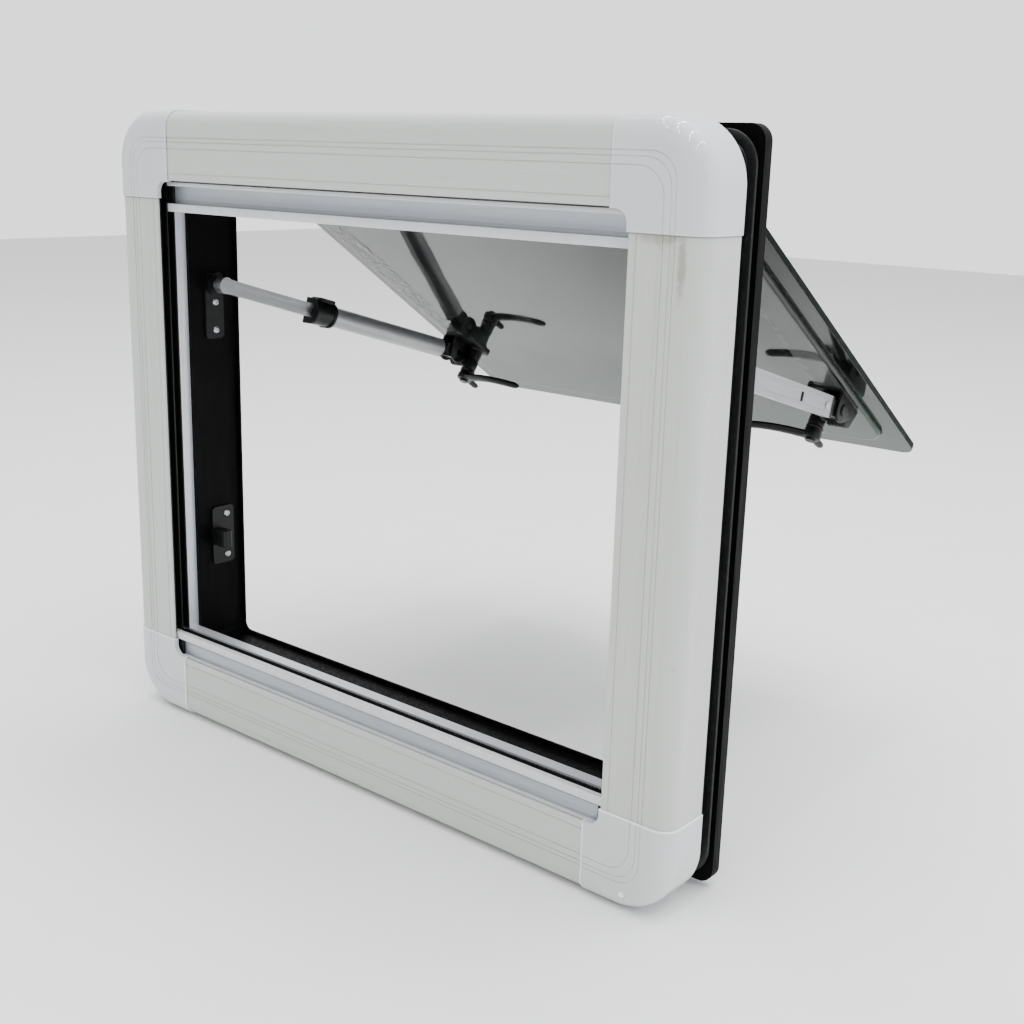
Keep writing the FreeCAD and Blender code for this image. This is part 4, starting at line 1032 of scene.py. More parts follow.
@dataclass
class PullBar:
    """Open-fronted bar at the free edge of a blind or screen.

    Attributes:
        node: CAD node that it stands for, which is also its body.
        grip_up: Whether the grip lip is its upper edge.
        wall: Wall thickness.
        grip: Height of the grip lip.
        tail: Height of the lip that holds the cloth.
        bead: Height of the fine ridge in the recess.
    """

    node: str
    grip_up: bool
    wall: float = 1.3 * MM
    grip: float = 7.0 * MM
    tail: float = 3.4 * MM
    bead: float = 0.5 * MM

    def build(self) -> bpy.types.Object:
        """Extrudes the section from end to end and rounds its edges."""
        low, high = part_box(self.node)
        front, back = low.y, high.y
        far, near = (low.z, high.z) if self.grip_up else (high.z, low.z)
        up = 1 if self.grip_up else -1
        rib = (far + near) / 2 + 3 * MM * up
        section = [
            (front, far), (front, far + self.tail * up), (back - self.wall, far + self.tail * up),
            (back - self.wall, rib - self.bead * up), (back - self.wall - self.bead, rib),
            (back - self.wall, rib + self.bead * up), (back - self.wall, near - self.wall * up),
            (front + self.wall, near - self.wall * up), (front + self.wall, near - self.grip * up),
            (front, near - self.grip * up), (front, near), (back, near), (back, far),
        ]
        bm = bmesh.new()
        verts = prism(bm, [(low.x, y, z) for y, z in section], (high.x - low.x, 0.0, 0.0))
        bmesh.ops.recalc_face_normals(bm, faces=bm.faces)
        runs = [e for e in sharp_edges(verts, 50) if abs(e.verts[0].co.x - e.verts[1].co.x) > MM]
        soften(bm, runs, 0.45 * MM, 3)
        web = back - self.wall - 0.1 * MM
        for face in bm.faces:
            face.material_index = int(-0.3 > face.normal.y and face.calc_center_median().y > web - self.bead)
        made = piece(bm, f"{self.node}_profile", [BAR_WHITE, BAR_INLAY], self.node)
        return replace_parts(made, self.node)


@dataclass
class SlotBrush:
    """Pile strip beside a pull bar: a folded back and rows of leaning tufts.

    Attributes:
        node: CAD node that it stands for.
        tip_up: Whether the pile points up.
        pitch: Spacing of the tufts.
        rows: Rows of tufts.
        back: Thickness of the folded back.
    """

    node: str
    tip_up: bool
    pitch: float = 1.5 * MM
    rows: int = 4
    back: float = 1.4 * MM

    def build(self) -> bpy.types.Object:
        """Sets the tufts in the back, each a little off its place."""
        low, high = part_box(self.node)
        bm = bmesh.new()
        root = low.z if self.tip_up else high.z - self.back
        verts = slab(bm, (low.x, low.y, root), (high.x, high.y, root + self.back))
        soften(bm, sharp_edges(verts), 0.3 * MM)
        length = high.z - low.z - self.back / 2
        radius = (high.y - low.y) / (2 * self.rows)
        count = int((high.x - low.x - 2 * radius) / self.pitch)
        for row in range(self.rows):
            y = low.y + radius * (2 * row + 1)
            for i in range(count):
                x = low.x + radius + self.pitch * (i + 0.5 * (row % 2))
                stray = noise.noise(Vector((x * 900, row * 3.1, 0.0)))
                lean = Euler((0.0, 0.16 * stray, 0.0)).to_matrix().to_4x4()
                turn = Matrix.Identity(4) if self.tip_up else Matrix.Rotation(math.pi, 4, "X")
                reach = (self.back + length) / 2
                middle = low.z + reach if self.tip_up else high.z - reach
                shorter = length * (0.9 + 0.08 * stray)
                bmesh.ops.create_cone(
                    bm, cap_ends=True, segments=5, depth=shorter, radius1=radius * 0.95,
                    radius2=radius * 0.45,
                    matrix=Matrix.Translation((x, y, middle)) @ lean @ turn,
                )
        made = piece(bm, f"{self.node}_pile", [PILE], "root", repair=False)
        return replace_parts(made, self.node)


@dataclass
class Seals:
    """Rubber under the flange and the rubber that the closed sash lies on.

    Attributes:
        lip: Thickness of a sealing lip.
        bulb: Radius of the round bead at a seal's edge.
        flange_w: Width of the rubber under the flange.
        groove: Depth and half width of its grooves.
        sash_w: Width of the rubber under the sash.
    """

    lip: float = 0.9 * MM
    bulb: float = 1.5 * MM
    flange_w: float = 22.0 * MM
    groove: float = 0.8 * MM
    sash_w: float = 6.0 * MM

    def flange_seal(self) -> bpy.types.Object:
        """Flat strip with two grooves, and a round bead along its outer edge."""
        low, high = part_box("flange_seal")
        width, depth, groove = self.flange_w, high.y - low.y, self.groove
        section = [(-width, low.y), (-width, low.y + depth)]
        for third in (1, 2):
            middle = -width + width * third / 3
            section += [(middle - groove, high.y), (middle, high.y - groove), (middle + groove, high.y)]
        section += [(-self.bulb, high.y), (-self.bulb * 0.3, high.y - 0.4 * MM), (0.0, high.y - self.bulb),
                    (-self.bulb * 0.3, low.y + 0.4 * MM), (-self.bulb, low.y)]
        for third in (2, 1):
            middle = -width + width * third / 3
            section += [(middle + groove, low.y), (middle, low.y + groove), (middle - groove, low.y)]
        bm = bmesh.new()
        swept_ring(bm, section, high.x, low.z, high.z, 24 * MM)
        made = piece(bm, "flange_rubber", [RUBBER], "root")
        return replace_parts(made, "flange_seal")

    def sash_seal(self) -> bpy.types.Object:
        """Foot with two soft lips that lean outwards."""
        low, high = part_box("sash_seal")
        width, top = self.sash_w, high.y
        section = [
            (-width, low.y), (-width, low.y + self.lip), (-width * 0.8, low.y + self.lip),
            (-width * 0.62, top - 0.2 * MM), (-width * 0.5, top), (-width * 0.42, top - 0.3 * MM),
            (-width * 0.55, low.y + self.lip), (-width * 0.35, low.y + self.lip),
            (-width * 0.14, top - 0.2 * MM), (-0.2 * MM, top), (0.0, top - 0.4 * MM),
            (-width * 0.1, low.y + self.lip), (0.0, low.y + self.lip), (0.0, low.y),
        ]
        bm = bmesh.new()
        swept_ring(bm, section, high.x, low.z, high.z, 14 * MM)
        made = piece(bm, "sash_rubber", [RUBBER], "root")
        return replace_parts(made, "sash_seal")

    def build(self) -> None:
        """Makes both seals."""
        self.flange_seal()
        self.sash_seal()


@dataclass
class RollerCloth:
    """Cloth of the blind or the screen: the turns on its roller and the stretch down to its bar.

    Attributes:
        name: "blind" or "screen".
        finish: Its cloth.
        slot: Material slot of the record. Not used.
        travel: How far the bar can be drawn.
        turns: Turns of cloth on the roller.
        core: Radius where the first turn starts.
    """

    name: str
    finish: WovenCloth
    slot: str
    travel: float = 387.5 * MM
    turns: int = 7
    core: float = 9.15 * MM

    def stretch(self) -> bpy.types.Object:
        """Flat run from the roller to the bar, its cloth map laid out for the bar's full travel."""
        low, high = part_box(f"{self.name}_sheet")
        width, length = high.x - low.x, high.z - low.z
        from_top = self.name == "blind"
        y = (low.y + high.y) / 2
        root, tip = (high.z, low.z) if from_top else (low.z, high.z)
        bm = bmesh.new()
        place = Matrix.Translation((0.0, y, (low.z + high.z) / 2)) @ Matrix.Rotation(math.pi / 2, 4, "X")
        place = place @ Matrix.Diagonal((width / 2, length / 2, 1.0, 1.0))
        bmesh.ops.create_grid(bm, x_segments=24, y_segments=60, size=1.0, matrix=place, calc_uvs=True)
        cloth = bm.loops.layers.uv.new("Cloth")
        for face in bm.faces:
            for loop in face.loops:
                point = loop.vert.co
                t = abs(point.z - root) / length
                drawn = t * t * (3 - 2 * t) * self.travel
                loop[cloth].uv = (point.x - low.x, abs(point.z - root) + drawn)
        made = piece(bm, f"{self.name}_cloth", [self.finish], None, repair=False)
        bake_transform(made)
        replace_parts(made, f"{self.name}_sheet")
        return made

    def wound(self) -> bpy.types.Object:
        """Spiral of cloth on the roller."""
        low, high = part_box(f"{self.name}_roll")
        middle = (low + high) / 2
        outer = (high.z - low.z) / 2 - 0.15 * MM
        steps = self.turns * 24
        growth = (outer / self.core) ** (1 / steps)
        bm = bmesh.new()
        ends = [bm.verts.new((x, middle.y, middle.z + self.core)) for x in (low.x, high.x)]
        edges = [bm.edges.new(ends)]
        centre = Matrix.Translation((0.0, middle.y, middle.z))
        turn = Matrix.Rotation(math.tau / 24, 4, "X") @ Matrix.Diagonal((1.0, growth, growth, 1.0))
        onward = centre @ turn @ centre.inverted()
        cloth = bm.loops.layers.uv.new("Cloth")
        length = 0.0
        for _ in range(steps):
            known = set(bm.faces)
            edges = pushed(bm, edges, Vector((0, 0, 0)))
            bmesh.ops.transform(bm, matrix=onward, verts=list({v for e in edges for v in e.verts}))
            chord = edge_gap(edges[0], known, bm)
            for face in set(bm.faces) - known:
                far = set(edges[0].verts)
                for loop in face.loops:
                    loop[cloth].uv = (loop.vert.co.x - low.x, length + (chord if loop.vert in far else 0.0))
            length += chord
        made = piece(bm, f"{self.name}_wound_cloth", [self.finish], f"{self.name}_roller",
                     repair=False)
        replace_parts(made, f"{self.name}_roll")
        LOG.info("%s cloth on the roller is %.3f m long", self.name, length)
        return made

    def build(self) -> None:
        """Makes both runs of the cloth."""
        self.wound()
        self.stretch()


def edge_gap(edge: bmesh.types.BMEdge, known: set[bmesh.types.BMFace], bm: bmesh.types.BMesh) -> float:
    """Returns the length of the newest strip of a spiral, from its last edge back to the one before.

    Args:
        edge: Last edge of the spiral.
        known: Faces that were there before the newest strip.
        bm: Mesh of the spiral.

    Returns:
        Length in metres.
    """
    newest = next(iter(set(bm.faces) - known))
    vert = edge.verts[0]
    across = next(e for e in vert.link_edges if e in set(newest.edges) and e is not edge)
    return across.calc_length()


@dataclass
class PaneTrim:
    """What lies on the acrylic sash: the seam round its raised middle, creased film along its
    sides and the dark polished edge.

    Attributes:
        half_w: Half the pane's width.
        top: Height of the pane's top edge, sash closed.
        bottom: Height of its bottom edge.
        face: Y of the inner sheet's inner face.
        dome: Height of the raised middle.
        side, over, under: Flat margin beside, above and below the raised middle.
        film: Width of the creased film.
    """

    half_w: float = 257.5 * MM
    top: float = 242.0 * MM
    bottom: float = -221.0 * MM
    face: float = 15.3 * MM
    dome: float = 5.0 * MM
    side: float = 19.0 * MM
    over: float = 40.0 * MM
    under: float = 26.0 * MM
    film: float = 26.0 * MM

    def seam(self) -> bpy.types.Object:
        """Fine dark bead in the bend round the raised middle."""
        section = [(0.6 * MM, self.face), (0.45 * MM, self.face - 0.35 * MM), (0.0, self.face - 0.5 * MM),
                   (-0.1 * MM, self.face)]
        bm = bmesh.new()
        swept_ring(bm, section, self.half_w - self.side + 0.1 * MM, self.bottom + self.under - 0.1 * MM,
                   self.top - self.over + 0.1 * MM, 24 * MM, 12)
        return piece(bm, "pane_seam", [SEAM_BLACK], "sash", place=OPENED)

    def rim(self) -> bpy.types.Object:
        """Dark polished edge round the sheets."""
        y0 = self.face + 0.3 * MM
        y1 = self.face + 6.1 * MM
        reach = 0.35 * MM
        section = [(-reach, y0), (reach * 0.6, y0 + 0.4 * MM), (reach, (y0 + y1) / 2),
                   (reach * 0.6, y1 - 0.4 * MM),
                   (-reach, y1), (-2 * reach, (y0 + y1) / 2)]
        bm = bmesh.new()
        swept_ring(bm, section, self.half_w, self.bottom, self.top, 15.0 * MM, 12)
        return piece(bm, "pane_polished_edge", [GREEN_EDGE], "sash", place=OPENED)

    def creased_film(self, side: int, name: str) -> bpy.types.Object:
        """Strip of film on the raised middle, rippled and ragged along its inner edge.

        Args:
            side: -1 for the left side and 1 for the right one.
            name: "left" or "right".

        Returns:
            The strip.
        """
        z_low = self.bottom + self.under + 60 * MM
        z_high = self.top - self.over - 6 * MM
        outer = self.half_w - self.side - 3 * MM
        y = self.face - self.dome - 0.5 * MM
        bm = bmesh.new()
        place = Matrix.Translation((side * (outer - self.film / 2), y, (z_low + z_high) / 2))
        place = place @ Matrix.Rotation(math.pi / 2, 4, "X")
        place = place @ Matrix.Diagonal((self.film / 2, (z_high - z_low) / 2, 1.0, 1.0))
        verts = bmesh.ops.create_grid(bm, x_segments=26, y_segments=260, size=1.0, matrix=place)["verts"]
        for vert in verts:
            x, z = vert.co.x, vert.co.z
            inward = (outer - abs(x)) / self.film
            ragged = noise.noise(Vector((z * 160, 4.0 * side, 1.0))) * 0.16
            vert.co.x -= side * self.film * ragged * inward
            ripple = noise.noise(Vector((x * 190 + z * 60, 9.0 * side, z * 95)))
            fine = noise.noise(Vector((x * 420, 2.0, z * 260)))
            vert.co.y -= (0.5 + 0.5 * ripple) * 0.9 * MM * (0.3 + 0.7 * inward) + 0.2 * MM * abs(fine)
        finish = FILM if side < 0 else FILM_FLAT
        return piece(bm, f"edge_film_{name}", [finish], "sash", place=OPENED, crease=180,
                     repair=False)

    def build(self) -> None:
        """Makes the seam, the edge and both strips of film."""
        self.seam()
        self.rim()
        for name, side in SIDES.items():
            self.creased_film(side, name)


@dataclass
class StayFittings:
    """Black mouldings of one telescopic stay: rims and grip ridges on the collar.

    Attributes:
        name: "left" or "right".
        start: Collar's start along the stay from the sash pivot.
        length: Collar's length.
        half_h, half_w: Half height and half width of the collar's D section.
        rim: How far a rim stands proud.
        ridges: Grip ridges on the thumb tab.
        ridge_pitch: Their spacing.
    """

    name: str
    start: float = 184.0 * MM
    length: float = 26.0 * MM
    half_h: float = 11.7 * MM
    half_w: float = 9.2 * MM
    rim: float = 0.9 * MM
    ridges: int = 7
    ridge_pitch: float = 2.4 * MM

    def frame(self) -> Matrix:
        """Placement of the stay: its Y axis runs from the sash pivot to the frame pivot."""
        pivot = OPENED @ SASH_PIVOT
        target = FRAME_PIVOT
        way = target - pivot
        slant = math.atan2(way.z, way.y)
        seat = Matrix.Translation((SIDES[self.name] * STAY_X, pivot.y, pivot.z))
        return seat @ Matrix.Rotation(slant, 4, "X")

    def d_outline(self, grow: float, along: float) -> list[Vector]:
        """Points of the D section: flat towards the jamb, round towards the middle.

        Args:
            grow: Margin in metres.
            along: Distance along the stay.

        Returns:
            Points of the outline, in order.
        """
        side = SIDES[self.name]
        half_h, half_w = self.half_h + grow, self.half_w + grow
        arc = [Vector((-side * half_w * math.cos(t), along, half_h * math.sin(t)))
               for t in (math.pi / 2 * k / 6 for k in range(-6, 7))]
        return [Vector((side * half_w, along, -half_h)), *arc, Vector((side * half_w, along, half_h))]

    def rims(self) -> bpy.types.Object:
        """Raised rims at both ends of the collar and fine ridges on its thumb tab."""
        bm = bmesh.new()
        for along, width in ((0.0, 3.2 * MM), (self.length - 4.0 * MM, 4.0 * MM)):
            outer = prism(bm, self.d_outline(self.rim, self.start + along), (0.0, width, 0.0))
            bmesh.ops.recalc_face_normals(bm, faces=list({f for v in outer for f in v.link_faces}))
            caps = [f for f in {f for v in outer for f in v.link_faces} if abs(f.normal.y) > 0.9]
            bmesh.ops.inset_individual(bm, faces=caps, thickness=self.rim + 1.6 * MM, depth=0.0)
            inner = list({e for f in caps for e in f.edges})
            bmesh.ops.delete(bm, geom=caps, context="FACES_ONLY")
            bmesh.ops.bridge_loops(bm, edges=inner)
            rim_edges = [e for e in sharp_edges([v for v in outer if v.is_valid], 50)
                         if abs(e.verts[0].co.y - e.verts[1].co.y) < 1e-6]
            soften(bm, rim_edges, 0.4 * MM, 2)
        low = -self.half_h - 2.0 * MM
        for i in range(self.ridges):
            y = self.start + 5 * MM + i * self.ridge_pitch
            verts = slab(bm, (-6 * MM, y, low - 0.5 * MM),
                         (6 * MM, y + self.ridge_pitch / 2, low + 0.5 * MM))
            soften(bm, edges_of(verts), 0.35 * MM, 2)
        return piece(bm, f"collar_rims_{self.name}", [NYLON], f"stay_tube_{self.name}",
                     place=self.frame())

    def build(self) -> None:
        """Makes the collar's rims."""
        self.rims()


@dataclass
class PaneBracket:
    """Moulded bracket on the pane: a base, two rounded ears for the stay's eye, a ribbed hood and
    the latch's post. It is drawn with the sash closed.

    Attributes:
        name: "left" or "right".
        pivot: Y and Z of the stay's pivot.
        eye: Radius of the ears' rounded ends.
        ear: Thickness of an ear.
        inner, outer: Inner face of the inner ear and outer face of the outer one, from the middle.
        seat: Y of the pane's face.
        base: Thickness of the base.
        low, high: Lowest and highest Z of the base.
        ribs: Ribs on the hood.
        post_x, post_z: Middle of the latch's post.
        post_top: Y of the post's end.
    """

    name: str
    pivot: tuple[float, float] = (-5 * MM, -95 * MM)
    eye: float = 11.2 * MM
    ear: float = 2.7 * MM
    inner: float = 217.6 * MM
    outer: float = 236.4 * MM
    seat: float = 10.3 * MM
    base: float = 3.0 * MM
    low: float = -124 * MM
    high: float = -81.5 * MM
    ribs: int = 6
    post_x: float = 208 * MM
    post_z: float = -110 * MM
    post_top: float = -18 * MM

    def plate(self, bm: bmesh.types.BMesh) -> None:
        """Base plate with round corners and a softened rim.

        Args:
            bm: Mesh that takes it.
        """
        verts = slab(bm, (self.post_x - 8.5 * MM, self.seat - self.base, self.low),
                     (self.outer, self.seat, self.high))
        uprights = [e for e in edges_of(verts) if abs(e.verts[0].co.y - e.verts[1].co.y) > MM]
        soften(bm, uprights, 5 * MM, 6)
        rim = [e for e in bm.edges if e.calc_face_angle(0.0) > 1.0
               and max(v.co.y for v in e.verts) < self.seat - self.base + 0.1 * MM]
        soften(bm, rim, 0.7 * MM, 2)

    def ears(self, bm: bmesh.types.BMesh) -> None:
        """Two ears with a round end about the pivot.

        Args:
            bm: Mesh that takes it.
        """
        y, z = self.pivot
        foot = self.seat - self.base
        round_end = [(y - self.eye * math.sin(t), z + self.eye * math.cos(t))
                     for t in (math.pi * k / 12 for k in range(13))]
        outline = [(foot, z + self.eye + 1 * MM), *round_end[:-3], (foot - 7 * MM, self.low + 3 * MM),
                   (foot, self.low + 1 * MM)]
        for start in (self.inner, self.outer - self.ear):
            verts = prism(bm, [(start, py, pz) for py, pz in outline], (self.ear, 0.0, 0.0))
            bmesh.ops.recalc_face_normals(bm, faces=list({f for v in verts for f in v.link_faces}))
            edge = [e for e in sharp_edges(verts, 60) if abs(e.verts[0].co.x - e.verts[1].co.x) < 1e-6]
            soften(bm, edge, 0.6 * MM, 2)

    def hood_outline(self, grow: float) -> list[tuple[float, float]]:
        """Hood's side view, grown by a margin: a round shoulder behind the eye and a long slope.

        Args:
            grow: Margin in metres.

        Returns:
            Points as (Y, Z).
        """
        y, z = self.pivot
        foot = self.seat - self.base
        start = z - 9.9 * MM
        shoulder = 7.0 * MM + grow
        centre = (y - 1.0 * MM, start - 6.4 * MM)
        arc = [(centre[0] - shoulder * math.cos(t), centre[1] + shoulder * math.sin(t))
               for t in (math.radians(a) for a in (65, 40, 15, -10, -35, -55))]
        return [(foot, start), (arc[0][0] + 3 * MM, start), *arc,
                (foot - 2 * MM, self.low - grow + 1.4 * MM), (foot, self.low - grow + 1.4 * MM)]

    def hood(self, bm: bmesh.types.BMesh) -> None:
        """Hood between the ears' faces, with ribs that run over it.

        Args:
            bm: Mesh that takes it.
        """
        width = self.outer - self.inner
        spans = [(self.inner + 0.3 * MM, width - 0.6 * MM, 0.0, 0.5 * MM)]
        pitch = width / self.ribs
        spans += [(self.inner + pitch * (i + 0.2), pitch * 0.6, 0.9 * MM, 0.35 * MM)
                  for i in range(self.ribs)]
        for start, reach, grow, edge_width in spans:
            verts = prism(bm, [(start, py, pz) for py, pz in self.hood_outline(grow)], (reach, 0.0, 0.0))
            bmesh.ops.recalc_face_normals(bm, faces=list({f for v in verts for f in v.link_faces}))
            edge = [e for e in sharp_edges(verts, 60) if abs(e.verts[0].co.x - e.verts[1].co.x) < 1e-6]
            soften(bm, edge, edge_width, 2)

    def post(self, bm: bmesh.types.BMesh) -> None:
        """Latch's post with turned rings, and the web that ties it to the hood.

        Args:
            bm: Mesh that takes it.
        """
        place = Matrix.Translation((self.post_x, self.seat - self.base, self.post_z))
        place = place @ Matrix.Rotation(math.pi / 2, 4, "X")
        height = self.seat - self.base - self.post_top
        profile = [(0.0, 0.0), (8.6 * MM, 0.0), (8.6 * MM, 1.2 * MM), (7.9 * MM, 2.2 * MM),
                   (7.1 * MM, 3.0 * MM),
                   (6.7 * MM, height * 0.55), (6.9 * MM, height * 0.56), (7.5 * MM, height * 0.6),
                   (7.5 * MM, height - 1.4 * MM), (7.1 * MM, height - 0.4 * MM), (6.6 * MM, height),
                   (0.0, height)]
        turned_profile(bm, profile, place, 36)
        verts = slab(bm, (self.post_x, -8.0 * MM, self.post_z - 4.5 * MM),
                     (self.inner + 1 * MM, self.seat - self.base, self.post_z + 4.5 * MM))
        soften(bm, edges_of(verts), 0.9 * MM, 3)
        cap = Matrix.Translation((self.outer, *self.pivot)) @ Matrix.Rotation(math.pi / 2, 4, "Y")
        turned_profile(bm, [(0.0, 0.0), (5.4 * MM, 0.0), (5.4 * MM, 0.7 * MM), (4.9 * MM, 1.5 * MM),
                            (3.8 * MM, 1.9 * MM), (1.6 * MM, 1.75 * MM), (0.0, 1.7 * MM)], cap, 32)

    def build(self) -> bpy.types.Object:
        """Makes the bracket and turns it to the open sash."""
        bm = bmesh.new()
        self.plate(bm)
        self.ears(bm)
        self.hood(bm)
        self.post(bm)
        if SIDES[self.name] < 0:
            bmesh.ops.transform(bm, matrix=Matrix.Diagonal((-1.0, 1.0, 1.0, 1.0)), verts=bm.verts)
        made = piece(bm, f"pane_bracket_{self.name}_moulding", [NYLON], "sash", place=OPENED)
        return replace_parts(made, f"pane_bracket_{self.name}")


@dataclass
class Latch:
    """Turn latch: a ridged hub, a long curved lever and a short hook. Drawn with the sash closed.

    Attributes:
        name: "left" or "right".
        x, z: Middle of the post.
        top: Y of the hub's free end.
        depth: Hub's length.
        radius: Hub's radius.
        lever: Lever's reach towards the middle.
        bow: Rise of the lever's middle.
        hook: Hook's reach down the pane.
    """

    name: str
    x: float = 208 * MM
    z: float = -110 * MM
    top: float = -30 * MM
    depth: float = 11.7 * MM
    radius: float = 8.4 * MM
    lever: float = 76 * MM
    bow: float = 6.0 * MM
    hook: float = 24 * MM

    def hub(self, bm: bmesh.types.BMesh) -> None:
        """Hub with a chamfered end, a waist and a cap over its screw.

        Args:
            bm: Mesh that takes it.
        """
        place = Matrix.Translation((self.x, self.top, self.z)) @ Matrix.Rotation(-math.pi / 2, 4, "X")
        r = self.radius
        turned_profile(bm, [(0.0, -1.6 * MM), (3.4 * MM, -1.5 * MM), (4.6 * MM, -1.0 * MM), (4.9 * MM, 0.0),
                            (r - 1.6 * MM, 0.0), (r - 0.5 * MM, 0.4 * MM), (r, 1.5 * MM), (r, 5.6 * MM),
                            (r - 0.7 * MM, 6.3 * MM), (r - 0.7 * MM, self.depth - 2.0 * MM),
                            (r - 0.1 * MM, self.depth - 1.2 * MM), (r - 0.4 * MM, self.depth),
                            (0.0, self.depth)],
                       place, 40)

    def arm(self, bm: bmesh.types.BMesh) -> None:
        """Lever of oval section, thick at the hub, bowed up and rounded at its tip.

        Args:
            bm: Mesh that takes it.
        """
        sections = []
        stations = (0.02, 0.12, 0.25, 0.4, 0.55, 0.7, 0.82, 0.92, 0.97, 1.0)
        for t in stations:
            rise = self.bow * math.sin(math.pi * min(t * 1.02, 1.0))
            slope = math.atan2(self.bow * math.pi * math.cos(math.pi * t), self.lever)
            end = math.sqrt(max(1.0 - max(0.0, (t - 0.9) / 0.1) ** 2, 0.04))
            half_w = (6.8 - 2.2 * min(t * 1.6, 1.0)) * MM * end
            half_t = 3.2 * MM * end
            place = Matrix.Translation((self.x - self.lever * t, self.top + 3.0 * MM, self.z + rise))
            turn = Matrix.Rotation(-math.pi / 2, 4, "Y") @ Matrix.Rotation(-slope, 4, "Y").inverted()
            sections.append(place @ turn @ Matrix.Diagonal((half_w, half_t, 1.0, 1.0)))
        lofted(bm, sections, 16)

    def claw(self, bm: bmesh.types.BMesh) -> None:
        """Short blunt hook with a thumb-thick end.

        Args:
            bm: Mesh that takes it.
        """
        sections = []
        for t in (0.1, 0.35, 0.6, 0.8, 0.92, 1.0):
            end = math.sqrt(max(1.0 - max(0.0, (t - 0.8) / 0.2) ** 2, 0.05))
            place = Matrix.Translation((self.x, self.top + 3.1 * MM, self.z - (self.hook - 0.4 * MM) * t))
            turn = Matrix.Rotation(math.pi, 4, "X")
            sections.append(place @ turn @ Matrix.Diagonal((4.1 * MM * end, 2.9 * MM * end, 1.0, 1.0)))
        lofted(bm, sections, 16)

    def build(self) -> bpy.types.Object:
        """Makes the latch and turns it to the open sash."""
        bm = bmesh.new()
        self.hub(bm)
        self.arm(bm)
        self.claw(bm)
        if SIDES[self.name] < 0:
            bmesh.ops.transform(bm, matrix=Matrix.Diagonal((-1.0, 1.0, 1.0, 1.0)), verts=bm.verts)
        made = piece(bm, f"latch_{self.name}_handle", [NYLON], f"latch_{self.name}",
                     place=OPENED)
        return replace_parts(made, f"latch_{self.name}")


@dataclass
class PanHeadScrews:
    """Raised screw heads with a round recess, on the jambs.

    Attributes:
        radius: Head's radius.
        height: Head's height.
        stay_pitch: Spacing of the two screws of a stay's bracket.
        catch_pitch: Spacing of the two screws of a catch plate.
        plate: Thickness of both plates.
    """

    radius: float = 3.3 * MM
    height: float = 1.5 * MM
    stay_pitch: float = 25.3 * MM
    catch_pitch: float = 40.0 * MM
    plate: float = 2.5 * MM

    def places(self) -> list[tuple[float, float]]:
        """Y and Z of each head on a jamb."""
        low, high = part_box("jamb_screws")
        y_stay = low.y + self.radius
        y_catch = high.y - self.radius
        return [(y_stay, high.z - self.radius), (y_stay, high.z - self.radius - self.stay_pitch),
                (y_catch, low.z + self.radius), (y_catch, low.z + self.radius + self.catch_pitch)]

    def build(self) -> bpy.types.Object:
        """Turns each head and sinks its recess."""
        seat = JAMB_X - self.plate
        r, h = self.radius, self.height
        bm = bmesh.new()
        for side in SIDES.values():
            for y, z in self.places():
                place = Matrix.Translation((side * seat, y, z)) @ Matrix.Rotation(-side * math.pi / 2, 4, "Y")
                turned_profile(bm, [(0.0, h - 1.1 * MM), (1.15 * MM, h - 1.0 * MM), (1.3 * MM, h - 0.05 * MM),
                                    (1.5 * MM, h), (2.4 * MM, h * 0.85), (3.0 * MM, h * 0.5),
                                    (r, 0.1 * MM), (r, 0.0), (0.0, 0.0)], place, 24)
        made = piece(bm, "jamb_screw_heads", [STEEL], "root")
        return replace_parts(made, "jamb_screws")


@dataclass
class CarriedNodes:
    """Finishes of the CAD nodes that are shown as they are."""

    def finishes(self) -> dict[str, Finish]:
        """Returns the finish of each CAD node by the start of its name; the longest match wins."""
        return {
            "inner_rail_top": RAIL_ACROSS,
            "inner_rail_bottom": RAIL_ACROSS,
            "inner_rail_left": RAIL_UPRIGHT,
            "inner_rail_right": RAIL_WORN,
            "corner_cover": COVER,
            "corner_cover_bottom_right": COVER_CHIPPED_SHADED,
            "back_strip_top": STRIP,
            "back_strip_bottom": STRIP,
            "back_strip_left": STRIP_UPRIGHT,
            "back_strip_right": STRIP_UPRIGHT,
            "outer_frame": FRAME_BLACK,
            "hinge_rail": FRAME_BLACK,
            "sash_hinge_profile": FRAME_BLACK,
            "pane_outer": ACRYLIC,
            "pane_inner": ACRYLIC,
            "pane_bond": BOND,
            "stay_tube": TUBE,
            "stay_rod": ROD,
            "stay_rivet": STEEL,
            "stay_pivot_pins": STEEL,
            "latch_screws": NYLON,
            "jamb_screws": STEEL,
            "clamp_screws": STEEL,
            "corner_keys": STEEL,
            "roller_springs": STEEL,
            "roller_spindles": STEEL,
            "blind_roller_tube": ROLLER,
            "screen_roller_tube": ROLLER,
            "": NYLON,
        }

    def dress(self) -> None:
        """Assigns a finish to every material slot of every CAD node."""
        finishes = self.finishes()
        for name, made in sorted(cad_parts.items()):
            match = max((start for start in finishes if name.startswith(start)), key=len)
            for index in range(len(made.data.materials)):
                made.data.materials[index] = finishes[match].material()


